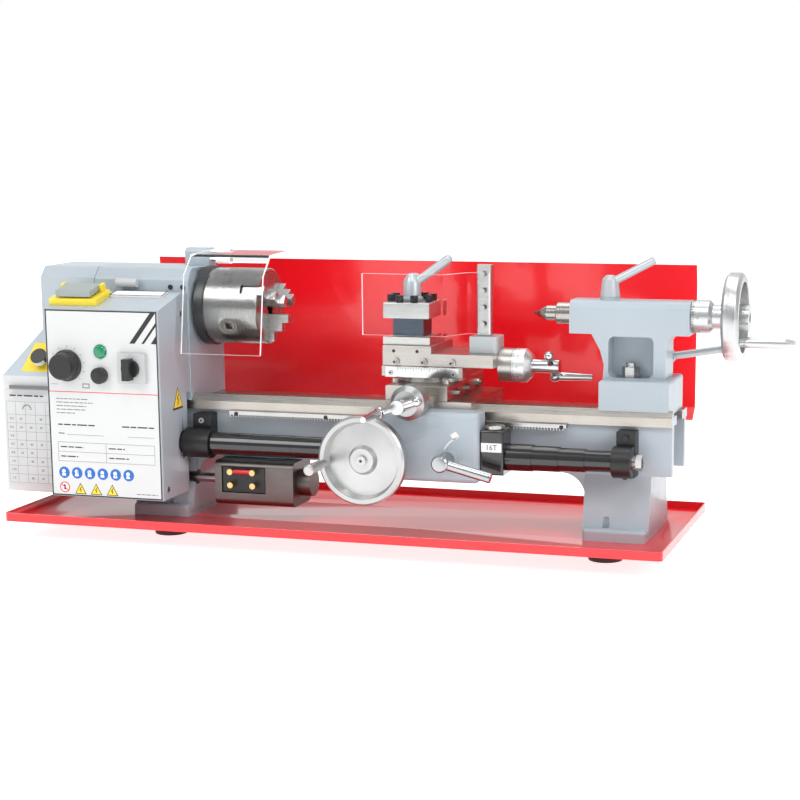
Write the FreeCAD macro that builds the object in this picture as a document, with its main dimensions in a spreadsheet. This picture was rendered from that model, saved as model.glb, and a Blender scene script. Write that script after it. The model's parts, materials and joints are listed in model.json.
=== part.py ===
import FreeCAD, Part

import math
import os
import re

import Sketcher
from FreeCAD import Placement, Rotation, Vector

# A bench metal lathe: 180 mm swing over the bed and 300 mm between centres.
# Millimetres. Origin: the middle of the bench-bolt pattern, on the bench.
# +X runs along the bed from headstock to tailstock, +Y away from the operator, +Z up.

SIZES = {
    # running gaps
    "slide_gap": 0.3, "shaft_gap": 0.05, "seat_gap": 0.02,
    # rubber feet and the bench bolts through them
    "foot_radius": 17.5, "foot_tall": 19, "foot_out": 237, "foot_side": 50, "bolt_hole": 3.3,
    # drip tray
    "tray_sheet": 1.5, "tray_left": -394, "tray_right": 308, "tray_half": 126, "tray_lip": 9,
    "tray_corner": 5,
    # splash guard
    "splash_sheet": 1.2, "splash_left": -316, "splash_right": 297, "splash_back": 109.5,
    "splash_top": 282.7, "splash_bend": 262, "splash_lean": 4, "splash_kick": 133,
    "splash_low": 121, "splash_foot": 95, "bracket_wide": 40, "bracket_thick": 3,
    # bed casting
    "bed_left": -318, "bed_right": 300, "bed_top": 150, "bed_half": 42.3, "bed_low": 84,
    "bed_wall": 10, "way_deep": 16, "way_wide": 27, "way_over": 4, "vee_half": 6.5, "vee_tall": 7,
    "rib_thick": 12, "rib_step": 118,
    "right_leg": 247, "left_leg": -243, "leg_half": 32, "leg_waist": 34, "leg_base_half": 62.5,
    "leg_base_tall": 12.5, "leg_low_half": 52, "leg_web": 25,
    # rack
    "rack_left": -168, "rack_right": 195, "rack_front": 47, "rack_tall": 6.4, "rack_depth": 2.2,
    "rack_gap": 0.4,
    # headstock
    "head_left": -320, "head_right": -212, "head_half": 44, "head_top": 281, "head_bevel": 11,
    "head_wall": 10, "spindle_high": 240, "bearing_radius": 31, "bearing_wide": 16,
    "boss_long": 8, "boss_radius": 38, "cap_radius": 27, "cap_thick": 2.2,
    # gear cover
    "cover_left": -384, "cover_gap": 0.3, "cover_wall": 3, "cover_low": 42, "cover_out": -416.5,
    "cover_front": 77, "cover_shoulder": 167, "cover_hip": 214, "cover_back": 44,
    "chart_thick": 0.8, "chart_edge": 3.5, "chart_low": 50, "chart_high": 160,
    "knob_x": -373, "knob_along": 0.32, "knob_radius": 9, "knob_long": 12, "tail_hole": 17,
    # control box
    "box_left": -342, "box_right": -213.6, "box_front": 114.5, "box_low": 47.4,
    "box_high": 243.9, "box_peak": 257, "box_slope_end": 60, "box_step": 152,
    "box_lower_back": 52, "box_upper_back": 44.4, "box_wall": 2, "panel_thick": 1.2,
    "screw_hole": 12, "tube_radius": 11,
    "lamp_x": -279.3, "lamp_z": 200.8, "lamp_radius": 7.5, "lamp_out": 3,
    "fuse_x": -279.7, "fuse_z": 176.3, "fuse_radius": 8.5, "fuse_out": 8,
    "dial_x": -317.5, "dial_z": 185.5, "dial_radius": 14.5, "dial_skirt": 16.5, "dial_out": 17,
    "rotary_x": -242.7, "rotary_z": 184.8, "rotary_half": 15.5, "rotary_thick": 5,
    "rotary_tall": 14, "rotary_arm": 11, "rotary_wide": 8,
    "switch_x": -314, "switch_y": 88, "switch_half": 27, "switch_deep": 17, "switch_tall": 7,
    "flap_half": 20, "flap_front": 15, "flap_back": 12, "flap_tall": 7, "flap_gap": 1,
    "button_radius": 6, "button_out": 9, "button_proud": 0.6, "button_long": 6,
    "display_left": -286.6, "display_right": -227, "display_front": 76, "display_back": 60,
    "display_thick": 2,
    "gland_x": -291, "gland_long": 24, "gland_radius": 4.5, "gland_z": 266,
    # spindle, flange and chuck
    "spindle_tail": -387, "spindle_radius": 15, "spindle_bore": 10, "flange_rear": -208,
    "flange_front": -198, "flange_radius": 42, "nose_gap": 1,
    "chuck_radius": 40, "chuck_split": -182, "chuck_face": -138, "chuck_bore": 8,
    "cavity_front": -156.5, "cavity_radius": 33.5, "cavity_core": 12,
    "scroll_thick": 7.5, "pinion_x": -171, "pinion_radius": 5.5, "pinion_inner": 18,
    "key_square": 8, "key_deep": 10, "key_angle": 28, "key_recess": 10,
    "jaw_wide": 10, "jaw_inner": 8, "jaw_outer": 37, "jaw_tip": -116, "jaw_step": 8,
    "jaw_land": 9, "jaw_angle": 32, "stud_circle": 33, "stud_radius": 3, "nut_thick": 3.2,
    "nut_across": 3.6,
    # chuck guard
    "guard_left": -205, "guard_right": -117, "guard_sheet": 3, "guard_low": 197,
    "guard_low_y": 82, "guard_mid": 277, "guard_mid_y": 70, "guard_high": 297,
    "guard_high_y": 50, "guard_back": 12, "hinge_y": 20, "hinge_z": 292, "hinge_rod": 4,
    "hinge_hub": 7.5, "hinge_block_left": -240, "hinge_block_half": 9,
    "hinge_long": 16,
    # drive
    "belt_left": -338, "belt_wide": 12, "belt_thick": 3.5, "belt_gap": 0.3, "pulley_radius": 29,
    "pulley_flange": 32, "pulley_rim": 2, "motor_pulley": 9, "motor_flange": 11.5,
    "motor_y": 38, "motor_z": 60, "motor_shaft": 5, "motor_left": -179, "motor_right": -100,
    "motor_half": 25.5, "motor_drop": 23.3, "motor_round": 7, "motor_cap": 9, "motor_boss": 14,
    "motor_boss_radius": 14, "shaft_hole": 8, "shaft_inner": -170,
    "terminal_left": -171, "terminal_right": -122, "terminal_low": 50, "terminal_high": 78,
    "terminal_out": 4, "post_radius": 3.2, "post_long": 8,
    "gear_left": -373, "gear_wide": 9, "tooth_tall": 2, "tooth_wide": 1.3,
    "spindle_gear": 20, "spindle_teeth": 40, "idler_gear": 30, "idler_teeth": 60,
    "idler_y": 18, "idler_z": 188, "stud_gear": 24, "stud_teeth": 48, "stud_y": 44,
    "stud_z": 137, "screw_gear": 10, "screw_teeth": 20,
    "gear_pin": 5, "plate_left": -352, "plate_thick": 5,
    # leadscrew
    "screw_y": 62, "screw_z": 101.5, "screw_radius": 7, "screw_left": -375, "screw_right": 273,
    "left_block_left": -210, "left_block_right": -180, "right_block_left": 246,
    "right_block_right": 268, "block_low": 84.3, "block_high": 131, "block_out": 78,
    "block_boss": 13.5, "screw_nut": 8,
    "left_cover_start": -179.7, "left_cover_thin": 11, "left_cover_fat": 12.2,
    "right_cover_end": 245.7, "right_cover_fat": 14, "right_cover_thin": 10.5, "cover_skin": 1,
    "cover_steps": 4,
    # saddle and apron
    "saddle_left": 10.7, "saddle_right": 100.5, "saddle_half": 60, "saddle_top": 154,
    "skirt_low": 142, "keep_low": 127, "keep_reach": 2.2,
    "apron_left": 0, "apron_right": 115, "apron_front": 85, "apron_low": 76,
    "apron_high": 147, "apron_wall": 5, "apron_round": 6, "boss_out": 13,
    "wheel_x": 5.7, "wheel_shaft": 6, "wheel_boss": 13, "wheel_radius": 45, "wheel_back": 110,
    "wheel_thick": 15, "wheel_rim": 6, "wheel_web": 5, "wheel_grip": 38.5, "grip_radius": 5.5,
    "grip_long": 45, "grip_turn": 185,
    "hand_pinion": 7, "hand_teeth": 14, "reduction": 20, "reduction_teeth": 40,
    "rack_pinion": 9, "rack_teeth": 18, "train_wide": 4.4,
    "lever_x": 83.5, "lever_z": 100, "lever_hub": 8.5, "lever_hub_out": 115, "lever_rod": 5.2,
    "lever_reach": 52, "lever_drop": 14,
    "half_nut_left": 60, "half_nut_right": 84, "half_nut_tall": 9, "half_nut_open": 5,
    "thread_box_right": 139, "thread_box_low": 93, "thread_box_high": 130,
    "thread_box_out": 80, "thread_dial": 10, "thread_dial_tall": 4,
    # cross slide
    "cross_left": 10.2, "cross_right": 75.5, "cross_front": 60, "cross_rear": 75,
    "cross_top": 169, "dovetail_foot": 17, "dovetail_flare": 3, "dovetail_tall": 6,
    "cross_screw_x": 48, "cross_screw_z": 158, "cross_screw": 4, "cross_groove": 5.5,
    "cross_bracket_out": 85, "cross_bracket": 10.6, "cross_dial": 17.5, "cross_dial_long": 25,
    "crank_throw": 20, "crank_hub": 7, "crank_ball": 6, "crank_grip": 4.5,
    "crank_grip_long": 45, "crank_arm": 4, "cross_hub_long": 30, "cross_turn": 198,
    # compound slide
    "swivel_x": 42, "swivel_disc": 37, "swivel_top": 176, "base_left": -1, "base_right": 85,
    "base_half": 38, "base_low": 172, "base_top": 186,
    "top_left": 0, "top_right": 117, "top_step": 52, "top_high": 207, "top_low": 199,
    "rail_foot": 16, "rail_tall": 6, "top_screw_y": 5, "top_screw_z": 186.5,
    "compound_screw": 3.5, "compound_groove": 4.5, "compound_dial": 17.3,
    "compound_dial_right": 150, "compound_hub_right": 181, "compound_throw": 18,
    "compound_turn": 319, "compound_grip_right": 209, "plate_gap": 0.3,
    "gib_screw": 2.2, "gib_nut": 4, "gib_out": 5,
    # toolpost
    "post_x": 24, "post_y": 8, "post_half": 25, "post_neck": 16.5, "post_foot_high": 215,
    "post_neck_high": 234, "post_high": 250, "post_stud": 8, "post_stud_high": 262,
    "post_bolt": 3.6, "post_bolt_head": 4.2, "post_bolt_top": 257, "post_bolt_in": 20.7,
    "post_bolt_side": 8, "hub_low": 250.5, "hub_high": 278, "hub_radius": 9.5,
    "post_lever": 4.75, "post_lever_reach": 42, "post_lever_rise": 36,
    # toolpost guard
    "shield_left": -18, "shield_right": 68, "shield_y": 48, "shield_sheet": 3,
    "shield_low": 210, "shield_high": 280, "pillar_x": 99.5, "pillar_y": 5,
    "pillar_half": 7.5, "pillar_deep": 4, "pillar_high": 288, "mount_left": 87,
    "mount_right": 116.7, "mount_front": 20, "mount_back": 10, "mount_high": 216,
    "pivot_pin": 4,
    # tailstock
    "tail_left": 225.5, "tail_right": 296, "tail_half": 38, "tail_base_high": 178,
    "tail_web_right": 289, "barrel_left": 191, "barrel_right": 311.7, "barrel_half": 20,
    "barrel_low": 222, "barrel_high": 255, "barrel_round": 9, "web_lean": 14,
    "window_left": 231, "window_right": 276.5, "window_low": 179, "window_high": 220,
    "window_deep": 22, "window_round": 6, "quill_radius": 11, "quill_left": 174,
    "quill_right": 292, "quill_screw": 5, "quill_bore_left": 205, "quill_screw_left": 225,
    "barrel_end": 6, "centre_radius": 7.6, "centre_tip": 148.6, "centre_cone": 163.7,
    "taper_large": 7, "taper_small": 5.6, "taper_long": 26,
    "tail_dial": 16.3, "tail_dial_right": 332, "tail_collar": 12, "tail_collar_right": 344,
    "tail_wheel_left": 345, "tail_wheel_right": 362, "tail_wheel": 44, "tail_hub": 13,
    "tail_hub_right": 368, "tail_spoke": 9, "tail_grip": 34, "tail_grip_turn": 220,
    "tail_grip_left": 357, "tail_grip_right": 416, "tail_grip_thick": 6,
    "lock_x": 228, "lock_low": 258, "lock_high": 279, "lock_radius": 9, "lock_lever": 4,
    "lock_reach": 48, "lock_rise": 28,
    "clamp_x": 282, "clamp_z": 196, "clamp_y": 33, "clamp_rod": 3.8, "clamp_reach": 56,
    "clamp_rise": 9, "clamp_hub": 8, "tail_stud": 5, "tail_stud_x": 252, "tail_nut": 9,
    "tail_nut_tall": 10, "tail_plate_thick": 6, "tail_plate_half": 24,
}

doc = FreeCAD.newDocument("BenchLathe")
dims = doc.addObject("Spreadsheet::Sheet", "dims")
for row, (alias, number) in enumerate(SIZES.items(), start=1):
    dims.set(f"A{row}", alias)
    dims.set(f"B{row}", str(number))
    dims.setAlias(f"B{row}", alias)
doc.recompute()

ALONG = {"x": Rotation(Vector(0, 1, 0), 90), "y": Rotation(Vector(1, 0, 0), -90), "z": Rotation()}
NODES = {}


# ---------------------------------------------------------------- helpers
def expression(text):
    """The text of an expression, with each size's name pointed at the sheet."""
    return re.sub(r"[a-z][a-z0-9_]*", lambda word: f"dims.{word[0]}" if word[0] in SIZES else word[0],
                  str(text))


def size(text):
    """The number that an expression on the sheet's sizes works out to."""
    return float(dims.evalExpression(expression(text)))


def bind(thing, prop, text):
    thing.setExpression(prop, expression(text))


def place(thing, x, y, z, turn=None):
    """Put a piece at a point whose coordinates stay tied to the sheet."""
    thing.Placement = Placement(Vector(size(x), size(y), size(z)), turn or Rotation())
    for corner, text in zip("xyz", (x, y, z)):
        bind(thing, "Placement.Base." + corner, text)
    return thing


def box(name, x, y, z):
    """A block between its low and high bound on each axis."""
    piece = doc.addObject("Part::Box", name)
    for side, (low, high) in zip(("Length", "Width", "Height"), (x, y, z)):
        bind(piece, side, f"({high}) - ({low})")
    return place(piece, x[0], y[0], z[0])


def rod(name, axis, radius, ends, across):
    """A round bar along an axis, from one end to the other, at two cross coordinates."""
    piece = doc.addObject("Part::Cylinder", name)
    bind(piece, "Radius", radius)
    bind(piece, "Height", f"({ends[1]}) - ({ends[0]})")
    return place(piece, *spot(axis, ends[0], across), ALONG[axis])


def spot(axis, along, across):
    """The point at a distance along one axis and two distances across it."""
    point = list(across)
    point.insert("xyz".index(axis), along)
    return point


def leaning_rod(name, radius, length, foot, direction):
    """A round bar from a foot point, along a free direction."""
    piece = doc.addObject("Part::Cylinder", name)
    bind(piece, "Radius", radius)
    bind(piece, "Height", length)
    return place(piece, *foot, Rotation(Vector(0, 0, 1), direction))


def ball(name, radius, centre):
    piece = doc.addObject("Part::Sphere", name)
    bind(piece, "Radius", radius)
    return place(piece, *centre)


def hexagon(name, radius, thick, axis, along, across):
    """A hexagon nut or bolt head, its corners at the radius."""
    piece = doc.addObject("Part::Prism", name)
    piece.Polygon = 6
    bind(piece, "Circumradius", radius)
    bind(piece, "Height", thick)
    return place(piece, *spot(axis, along, across), ALONG[axis])


def tapered(name, x, y, z, x_top, y_top):
    """A block whose rectangle at the bottom changes into another at the top."""
    piece = doc.addObject("Part::Wedge", name)
    bounds = {"Xmin": x[0], "Xmax": x[1], "Ymin": z[0], "Ymax": z[1],
              "Zmin": f"-({y[1]})", "Zmax": f"-({y[0]})", "X2min": x_top[0], "X2max": x_top[1],
              "Z2min": f"-({y_top[1]})", "Z2max": f"-({y_top[0]})"}
    for prop, text in bounds.items():
        setattr(piece, prop, size(text))
    for prop, text in bounds.items():
        bind(piece, prop, text)
    piece.Placement = Placement(Vector(), Rotation(Vector(1, 0, 0), 90))
    return piece


def origin_plane(body, role):
    return next(plane for plane in body.Origin.OriginFeatures if plane.Role == role)


def sketch_on(body, role, outlines, name, offset=0):
    """A sketch of straight outlines and circles, every coordinate tied to the sheet."""
    sketch = body.newObject("Sketcher::SketchObject", name)
    sketch.AttachmentSupport = (origin_plane(body, role), [""])
    sketch.MapMode = "FlatFace"
    bind(sketch, "AttachmentOffset.Base.z", offset)
    for outline in outlines:
        if outline[0] == "circle":
            add_circle(sketch, *outline[1:])
        else:
            add_polygon(sketch, outline)
    return sketch


def fix_point(sketch, item, corner, point):
    for kind, text in zip(("DistanceX", "DistanceY"), point):
        tie = sketch.addConstraint(Sketcher.Constraint(kind, -1, 1, item, corner, size(text)))
        bind(sketch, f"Constraints[{tie}]", text)


def add_polygon(sketch, points):
    corners = [Vector(size(a), size(b), 0) for a, b in points]
    lines = [sketch.addGeometry(Part.LineSegment(start, end), False)
             for start, end in zip(corners, corners[1:] + corners[:1])]
    for line, following in zip(lines, lines[1:] + lines[:1]):
        sketch.addConstraint(Sketcher.Constraint("Coincident", line, 2, following, 1))
    for line, point in zip(lines, points):
        fix_point(sketch, line, 1, point)


def add_circle(sketch, a, b, radius):
    circle = Part.Circle(Vector(size(a), size(b), 0), Vector(0, 0, 1), size(radius))
    item = sketch.addGeometry(circle, False)
    fix_point(sketch, item, 3, (a, b))
    tie = sketch.addConstraint(Sketcher.Constraint("Radius", item, size(radius)))
    bind(sketch, f"Constraints[{tie}]", radius)


def prism(name, axis, outlines, ends):
    """A body padded along an axis; outlines hold the other two coordinates, in X, Y, Z order."""
    body = doc.addObject("PartDesign::Body", name)
    role = {"x": "YZ_Plane", "y": "XZ_Plane", "z": "XY_Plane"}[axis]
    start = f"-({ends[1]})" if axis == "y" else ends[0]
    if not isinstance(outlines[0], list) and outlines[0][0] != "circle":
        outlines = [outlines]
    sketch = sketch_on(body, role, outlines, name + "_outline", start)
    pad = body.newObject("PartDesign::Pad", name + "_pad")
    pad.Profile = sketch
    bind(pad, "Length", f"({ends[1]}) - ({ends[0]})")
    return body


def turned(name, axis, outline, across=(0, 0)):
    """A body of revolution: the outline holds pairs of place along the axis and radius."""
    body = doc.addObject("PartDesign::Body", name)
    along_x = axis == "x"
    points = outline if along_x else [(radius, along) for along, radius in outline]
    sketch = sketch_on(body, "XY_Plane" if axis == "y" else "XZ_Plane", [points], name + "_half")
    turn = body.newObject("PartDesign::Revolution", name + "_turn")
    turn.Profile = sketch
    turn.ReferenceAxis = (sketch, ["H_Axis" if along_x else "V_Axis"])
    turn.Angle = 360
    return place(body, *spot(axis, 0, across))


def fuse(name, *pieces):
    joined = doc.addObject("Part::MultiFuse", name)
    joined.Shapes = list(pieces)
    return joined


def cut(name, base, *tools):
    """The base with every tool taken away."""
    result = doc.addObject("Part::Cut", name)
    result.Base = base
    result.Tool = tools[0] if len(tools) == 1 else fuse(name + "_tools", *tools)
    return result


def group(name, pieces):
    """Separate solids that make one node."""
    bundle = doc.addObject("Part::Compound", name)
    bundle.Links = list(pieces)
    return bundle


def rounded(name, base, radius, wanted):
    """The base with a round on each edge that the test picks."""
    doc.recompute()
    blend = doc.addObject("Part::Fillet", name)
    blend.Base = base
    blend.Edges = [(index, size(radius), size(radius))
                   for index, edge in enumerate(base.Shape.Edges, start=1) if wanted(edge)]
    return blend


def runs_along(edge, axis, longer=0):
    """Whether an edge is straight, along the axis and longer than a length."""
    ends = [vertex.Point for vertex in edge.Vertexes]
    if len(ends) < 2 or edge.Length <= longer:
        return False
    return abs((ends[1] - ends[0]).dot(axis)) > edge.Length * 0.999


def keep(name, piece):
    """Put a piece into a node; the small pieces that share a node stay separate solids."""
    NODES.setdefault(name, []).append(piece)


def hollow(name, axis, outer, inner, ends, across):
    """A plain round tube."""
    return cut(name, rod(name + "_out", axis, outer, ends, across),
               rod(name + "_in", axis, inner, (f"({ends[0]}) - 1", f"({ends[1]}) + 1"), across))


def gear(name, axis, radius, teeth, ends, across, bore, hand=0):
    """A spur gear: a disc with straight-sided teeth standing on its pitch line."""
    root = f"({radius}) - tooth_tall / 2"
    count = int(size(teeth))
    disc = rod(name + "_disc", axis, root, ends, across)
    blank = [disc]
    for tooth in range(count):
        turn = math.radians(360 / count * tooth + hand)
        blank.append(gear_tooth(f"{name}_tooth{tooth}", axis, radius, ends, across, turn))
    solid = fuse(name + "_solid", *blank)
    return cut(name, solid, rod(name + "_bore", axis, bore,
                                (f"({ends[0]}) - 1", f"({ends[1]}) + 1"), across))


def gear_tooth(name, axis, radius, ends, across, turn):
    """One radial tooth, made as a block and turned about the gear's axis."""
    tooth = doc.addObject("Part::Box", name)
    bind(tooth, "Length", "tooth_tall * 2")
    bind(tooth, "Width", "tooth_wide")
    bind(tooth, "Height", f"({ends[1]}) - ({ends[0]})")
    out = size(radius) - size("tooth_tall") * 1.5
    side = size("tooth_wide") / 2
    spin = ALONG[axis].multiply(Rotation(Vector(0, 0, 1), math.degrees(turn)))
    foot = Vector(*[size(text) for text in spot(axis, ends[0], across)])
    tooth.Placement = Placement(foot + spin.multVec(Vector(out, -side, 0)), spin)
    return tooth


# ---------------------------------------------------------------- stand: feet, tray, splash guard
TRAY_FLOOR = "foot_tall + tray_sheet"
FEET = [(out, side) for out in ("-foot_out", "foot_out") for side in ("-foot_side", "foot_side")]


def bolt_holes(name, low, high):
    """The four bench-bolt holes, one above each foot."""
    return fuse(name, *[rod(f"{name}{number}", "z", "bolt_hole", (low, high), foot)
                        for number, foot in enumerate(FEET)])


def make_stand():
    feet = [hollow(f"foot{number}", "z", "foot_radius", "bolt_hole", ("0", "foot_tall"), foot)
            for number, foot in enumerate(FEET)]
    keep("rubber_feet", group("feet", feet))

    sheet = ("-tray_half", "tray_half")
    outer = box("tray_block", ("tray_left", "tray_right"), sheet,
                ("foot_tall", "foot_tall + tray_lip"))
    outer = rounded("tray_round", outer, "tray_corner", lambda edge: runs_along(edge, Vector(0, 0, 1)))
    inner = box("tray_inside", ("tray_left + tray_sheet", "tray_right - tray_sheet"),
                ("tray_sheet - tray_half", "tray_half - tray_sheet"),
                (TRAY_FLOOR, "foot_tall + tray_lip + 1"))
    keep("drip_tray", cut("tray", outer, inner, bolt_holes("tray_holes", "0", "foot_tall + tray_lip")))

    front = [("splash_back - splash_lean", "splash_top"), ("splash_back", "splash_bend"),
             ("splash_back", "splash_kick"), ("splash_foot", "splash_low")]
    back = [(f"{y} + splash_sheet", z) for y, z in reversed(front)]
    keep("splash_guard", prism("splash", "x", front + back, ("splash_left", "splash_right")))

    brackets = []
    for number, middle in enumerate(("splash_left + 70", "splash_right - 70")):
        x = (f"{middle} - bracket_wide / 2", f"{middle} + bracket_wide / 2")
        arm = box(f"bracket_arm{number}", x, ("bed_half - way_over", "splash_back"),
                  ("splash_kick - bracket_thick - 24", "splash_kick - 24"))
        wall = box(f"bracket_wall{number}", x, ("bed_half - way_over",
                                                "bed_half - way_over + bracket_thick"),
                   ("bed_low", "splash_kick - 24"))
        tab = box(f"bracket_tab{number}", x, ("splash_back + splash_sheet",
                                              "splash_back + splash_sheet + bracket_thick"),
                  ("splash_kick - bracket_thick - 24", "splash_kick + 20"))
        link = box(f"bracket_link{number}", x, ("splash_foot", "splash_back + splash_sheet + bracket_thick"),
                   ("splash_kick - bracket_thick - 24", "splash_kick - 24"))
        brackets.append(fuse(f"bracket{number}", arm, wall, tab, link))
    keep("splash_guard", group("brackets", brackets))


# ---------------------------------------------------------------- bed, legs and rack
VEE_LEFT = "-bed_half"
VEE_FOOT = "bed_top - vee_tall"
WALL_OUT = "bed_half - way_over"


def vee_outline(grow="0"):
    """The front way's inverted vee; grow opens it for whatever rides on it."""
    return [("-bed_half - 1", "bed_low"), ("-bed_half - 1", f"{VEE_FOOT} + {grow}"),
            (VEE_LEFT, f"{VEE_FOOT} + {grow}"), ("vee_half - bed_half", f"bed_top + {grow}"),
            (f"2 * vee_half - bed_half + {grow}", f"{VEE_FOOT} + {grow}"),
            ("way_wide - bed_half", f"{VEE_FOOT} + {grow}"), ("way_wide - bed_half", "bed_low")]


def bed_rail(name, outline):
    return prism(name, "x", outline, ("bed_left", "bed_right"))


def make_leg(name, middle, inner):
    """A leg: a wide foot flange, a tapering column and a curved web on its inner side."""
    low, high = f"{middle} - leg_half", f"{middle} + leg_half"
    foot = box(name + "_foot", (low, high), ("-leg_base_half", "leg_base_half"),
               (TRAY_FLOOR, f"{TRAY_FLOOR} + leg_base_tall"))
    foot = rounded(name + "_foot_round", foot, "4",
                   lambda edge: runs_along(edge, Vector(0, 0, 1)) or edge.CenterOfMass.z > 30)
    column = tapered(name + "_column", (f"{middle} - leg_waist", f"{middle} + leg_waist - 1"),
                     ("-leg_low_half", "leg_low_half"), (f"{TRAY_FLOOR} + leg_base_tall - 6", "bed_low"),
                     (f"{middle} - leg_waist", f"{middle} + leg_waist - 1"), (f"-({WALL_OUT})", WALL_OUT))
    side = f"{middle} + leg_waist - 1" if inner > 0 else f"{middle} - leg_waist"
    web_x = (side, f"{side} + leg_web") if inner > 0 else (f"{side} - leg_web", side)
    web = box(name + "_web", web_x, (f"-({WALL_OUT})", WALL_OUT), ("bed_low - leg_web", "bed_low"))
    round_x = web_x[1] if inner > 0 else web_x[0]
    hollowed = rod(name + "_web_round", "y", "leg_web", ("-leg_base_half", "leg_base_half"),
                   (round_x, "bed_low - leg_web"))
    return fuse(name, foot, column, cut(name + "_fillet", web, hollowed))


RACK_PITCH = "2 * 3.14159265 * rack_pinion / rack_teeth"


def make_bed():
    front = bed_rail("front_rail", [
        (f"-({WALL_OUT})", "bed_low"), (f"-({WALL_OUT})", "bed_top - way_deep"),
        (VEE_LEFT, "bed_top - way_deep"), (VEE_LEFT, VEE_FOOT), ("vee_half - bed_half", "bed_top"),
        ("2 * vee_half - bed_half", VEE_FOOT), ("way_wide - bed_half", VEE_FOOT),
        ("way_wide - bed_half", "bed_top - way_deep"),
        (f"bed_wall - ({WALL_OUT})", "bed_top - way_deep"), (f"bed_wall - ({WALL_OUT})", "bed_low")])
    rear = bed_rail("rear_rail", [
        (WALL_OUT, "bed_low"), (WALL_OUT, "bed_top - way_deep"), ("bed_half", "bed_top - way_deep"),
        ("bed_half", VEE_FOOT), ("bed_half - way_wide", VEE_FOOT),
        ("bed_half - way_wide", "bed_top - way_deep"), (f"{WALL_OUT} - bed_wall", "bed_top - way_deep"),
        (f"{WALL_OUT} - bed_wall", "bed_low")])
    ribs = []
    for number in range(6):
        start = f"bed_left + {number} * rib_step"
        ribs.append(box(f"rib{number}", (start, f"{start} + rib_thick"),
                        (f"-({WALL_OUT}) + 1", f"{WALL_OUT} - 1"), ("bed_low", "bed_top - way_deep - 14")))
    legs = [make_leg("right_foot", "right_leg", -1), make_leg("left_foot", "left_leg", 1)]
    casting = fuse("bed_casting", front, rear, *ribs, *legs)
    tunnel = rod("shaft_tunnel", "x", "shaft_hole", ("bed_left - 1", "left_leg + leg_waist + 1"),
                 ("-motor_y", "motor_z"))
    keep("bed", cut("bed_body", casting, tunnel, bolt_holes("leg_holes", "0", "foot_tall + 24")))

    blank = box("rack_blank", ("rack_left", "rack_right"), ("-rack_front", f"-({WALL_OUT})"),
                ("bed_top - way_deep - rack_tall + rack_depth", "bed_top - way_deep"))
    pitch = size(RACK_PITCH)
    count = int((size("rack_right") - size("rack_left")) / pitch)
    teeth = [blank]
    for number in range(count):
        left = f"rack_left + {number} * ({RACK_PITCH}) + ({RACK_PITCH}) / 4"
        teeth.append(box(f"rack_tooth{number}", (left, f"{left} + tooth_wide"),
                         ("-rack_front", f"-({WALL_OUT})"),
                         ("bed_top - way_deep - rack_tall", "bed_top - way_deep - rack_tall + rack_depth")))
    keep("bed_rack", fuse("rack", *teeth))


# ---------------------------------------------------------------- headstock and gear cover
SPINDLE = ("0", "spindle_high")


def make_headstock():
    high, half = "head_top", "head_half"
    outline = [(f"-{half}", VEE_FOOT), (f"-{half}", f"{high} - head_bevel"),
               (f"head_bevel - {half}", high), (f"{half} - head_bevel", high),
               (half, f"{high} - head_bevel"), (half, VEE_FOOT)]
    shell = prism("head_block", "x", outline, ("head_left", "head_right"))
    shell = rounded("head_round", shell, "5", lambda edge: runs_along(edge, Vector(1, 0, 0), 50)
                    and edge.CenterOfMass.z > 240)
    cavity = box("head_cavity", ("head_left + head_wall", "head_right - head_wall"),
                 (f"head_wall - {half}", f"{half} - head_wall"), (f"{VEE_FOOT} - 1", f"{high} - head_wall"))
    bosses = [rod("left_boss", "x", "boss_radius", ("head_left", "head_left + head_wall + boss_long"),
                  SPINDLE),
              rod("right_boss", "x", "boss_radius", ("head_right - head_wall - boss_long", "head_right"),
                  SPINDLE)]
    casting = fuse("head_casting", cut("head_shell", shell, cavity), *bosses)
    seats = [rod("left_seat", "x", "bearing_radius + seat_gap", ("head_left - 1",
                                                                 "head_left + bearing_wide"),
                 SPINDLE),
             rod("right_seat", "x", "bearing_radius + seat_gap", ("head_right - bearing_wide",
                                                                  "head_right + 1"),
                 SPINDLE),
             rod("shaft_way", "x", "spindle_radius + 6", ("head_left - 1", "head_right + 1"), SPINDLE)]
    vee = prism("head_vee", "x", vee_outline(), ("head_left - 1", "head_right + 1"))
    keep("headstock", cut("head_body", casting, *seats, vee))

    bearings = [hollow("left_bearing", "x", "bearing_radius", "spindle_radius + shaft_gap",
                       ("head_left", "head_left + bearing_wide"), SPINDLE),
                hollow("right_bearing", "x", "bearing_radius", "spindle_radius + shaft_gap",
                       ("head_right - bearing_wide", "head_right"), SPINDLE)]
    keep("spindle_bearings", group("bearing_pair", bearings))
    keep("spindle_bearings", hollow("cap_ring", "x", "cap_radius", "spindle_radius + slide_gap",
                               ("head_right", "head_right + cap_thick"), SPINDLE))


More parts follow.
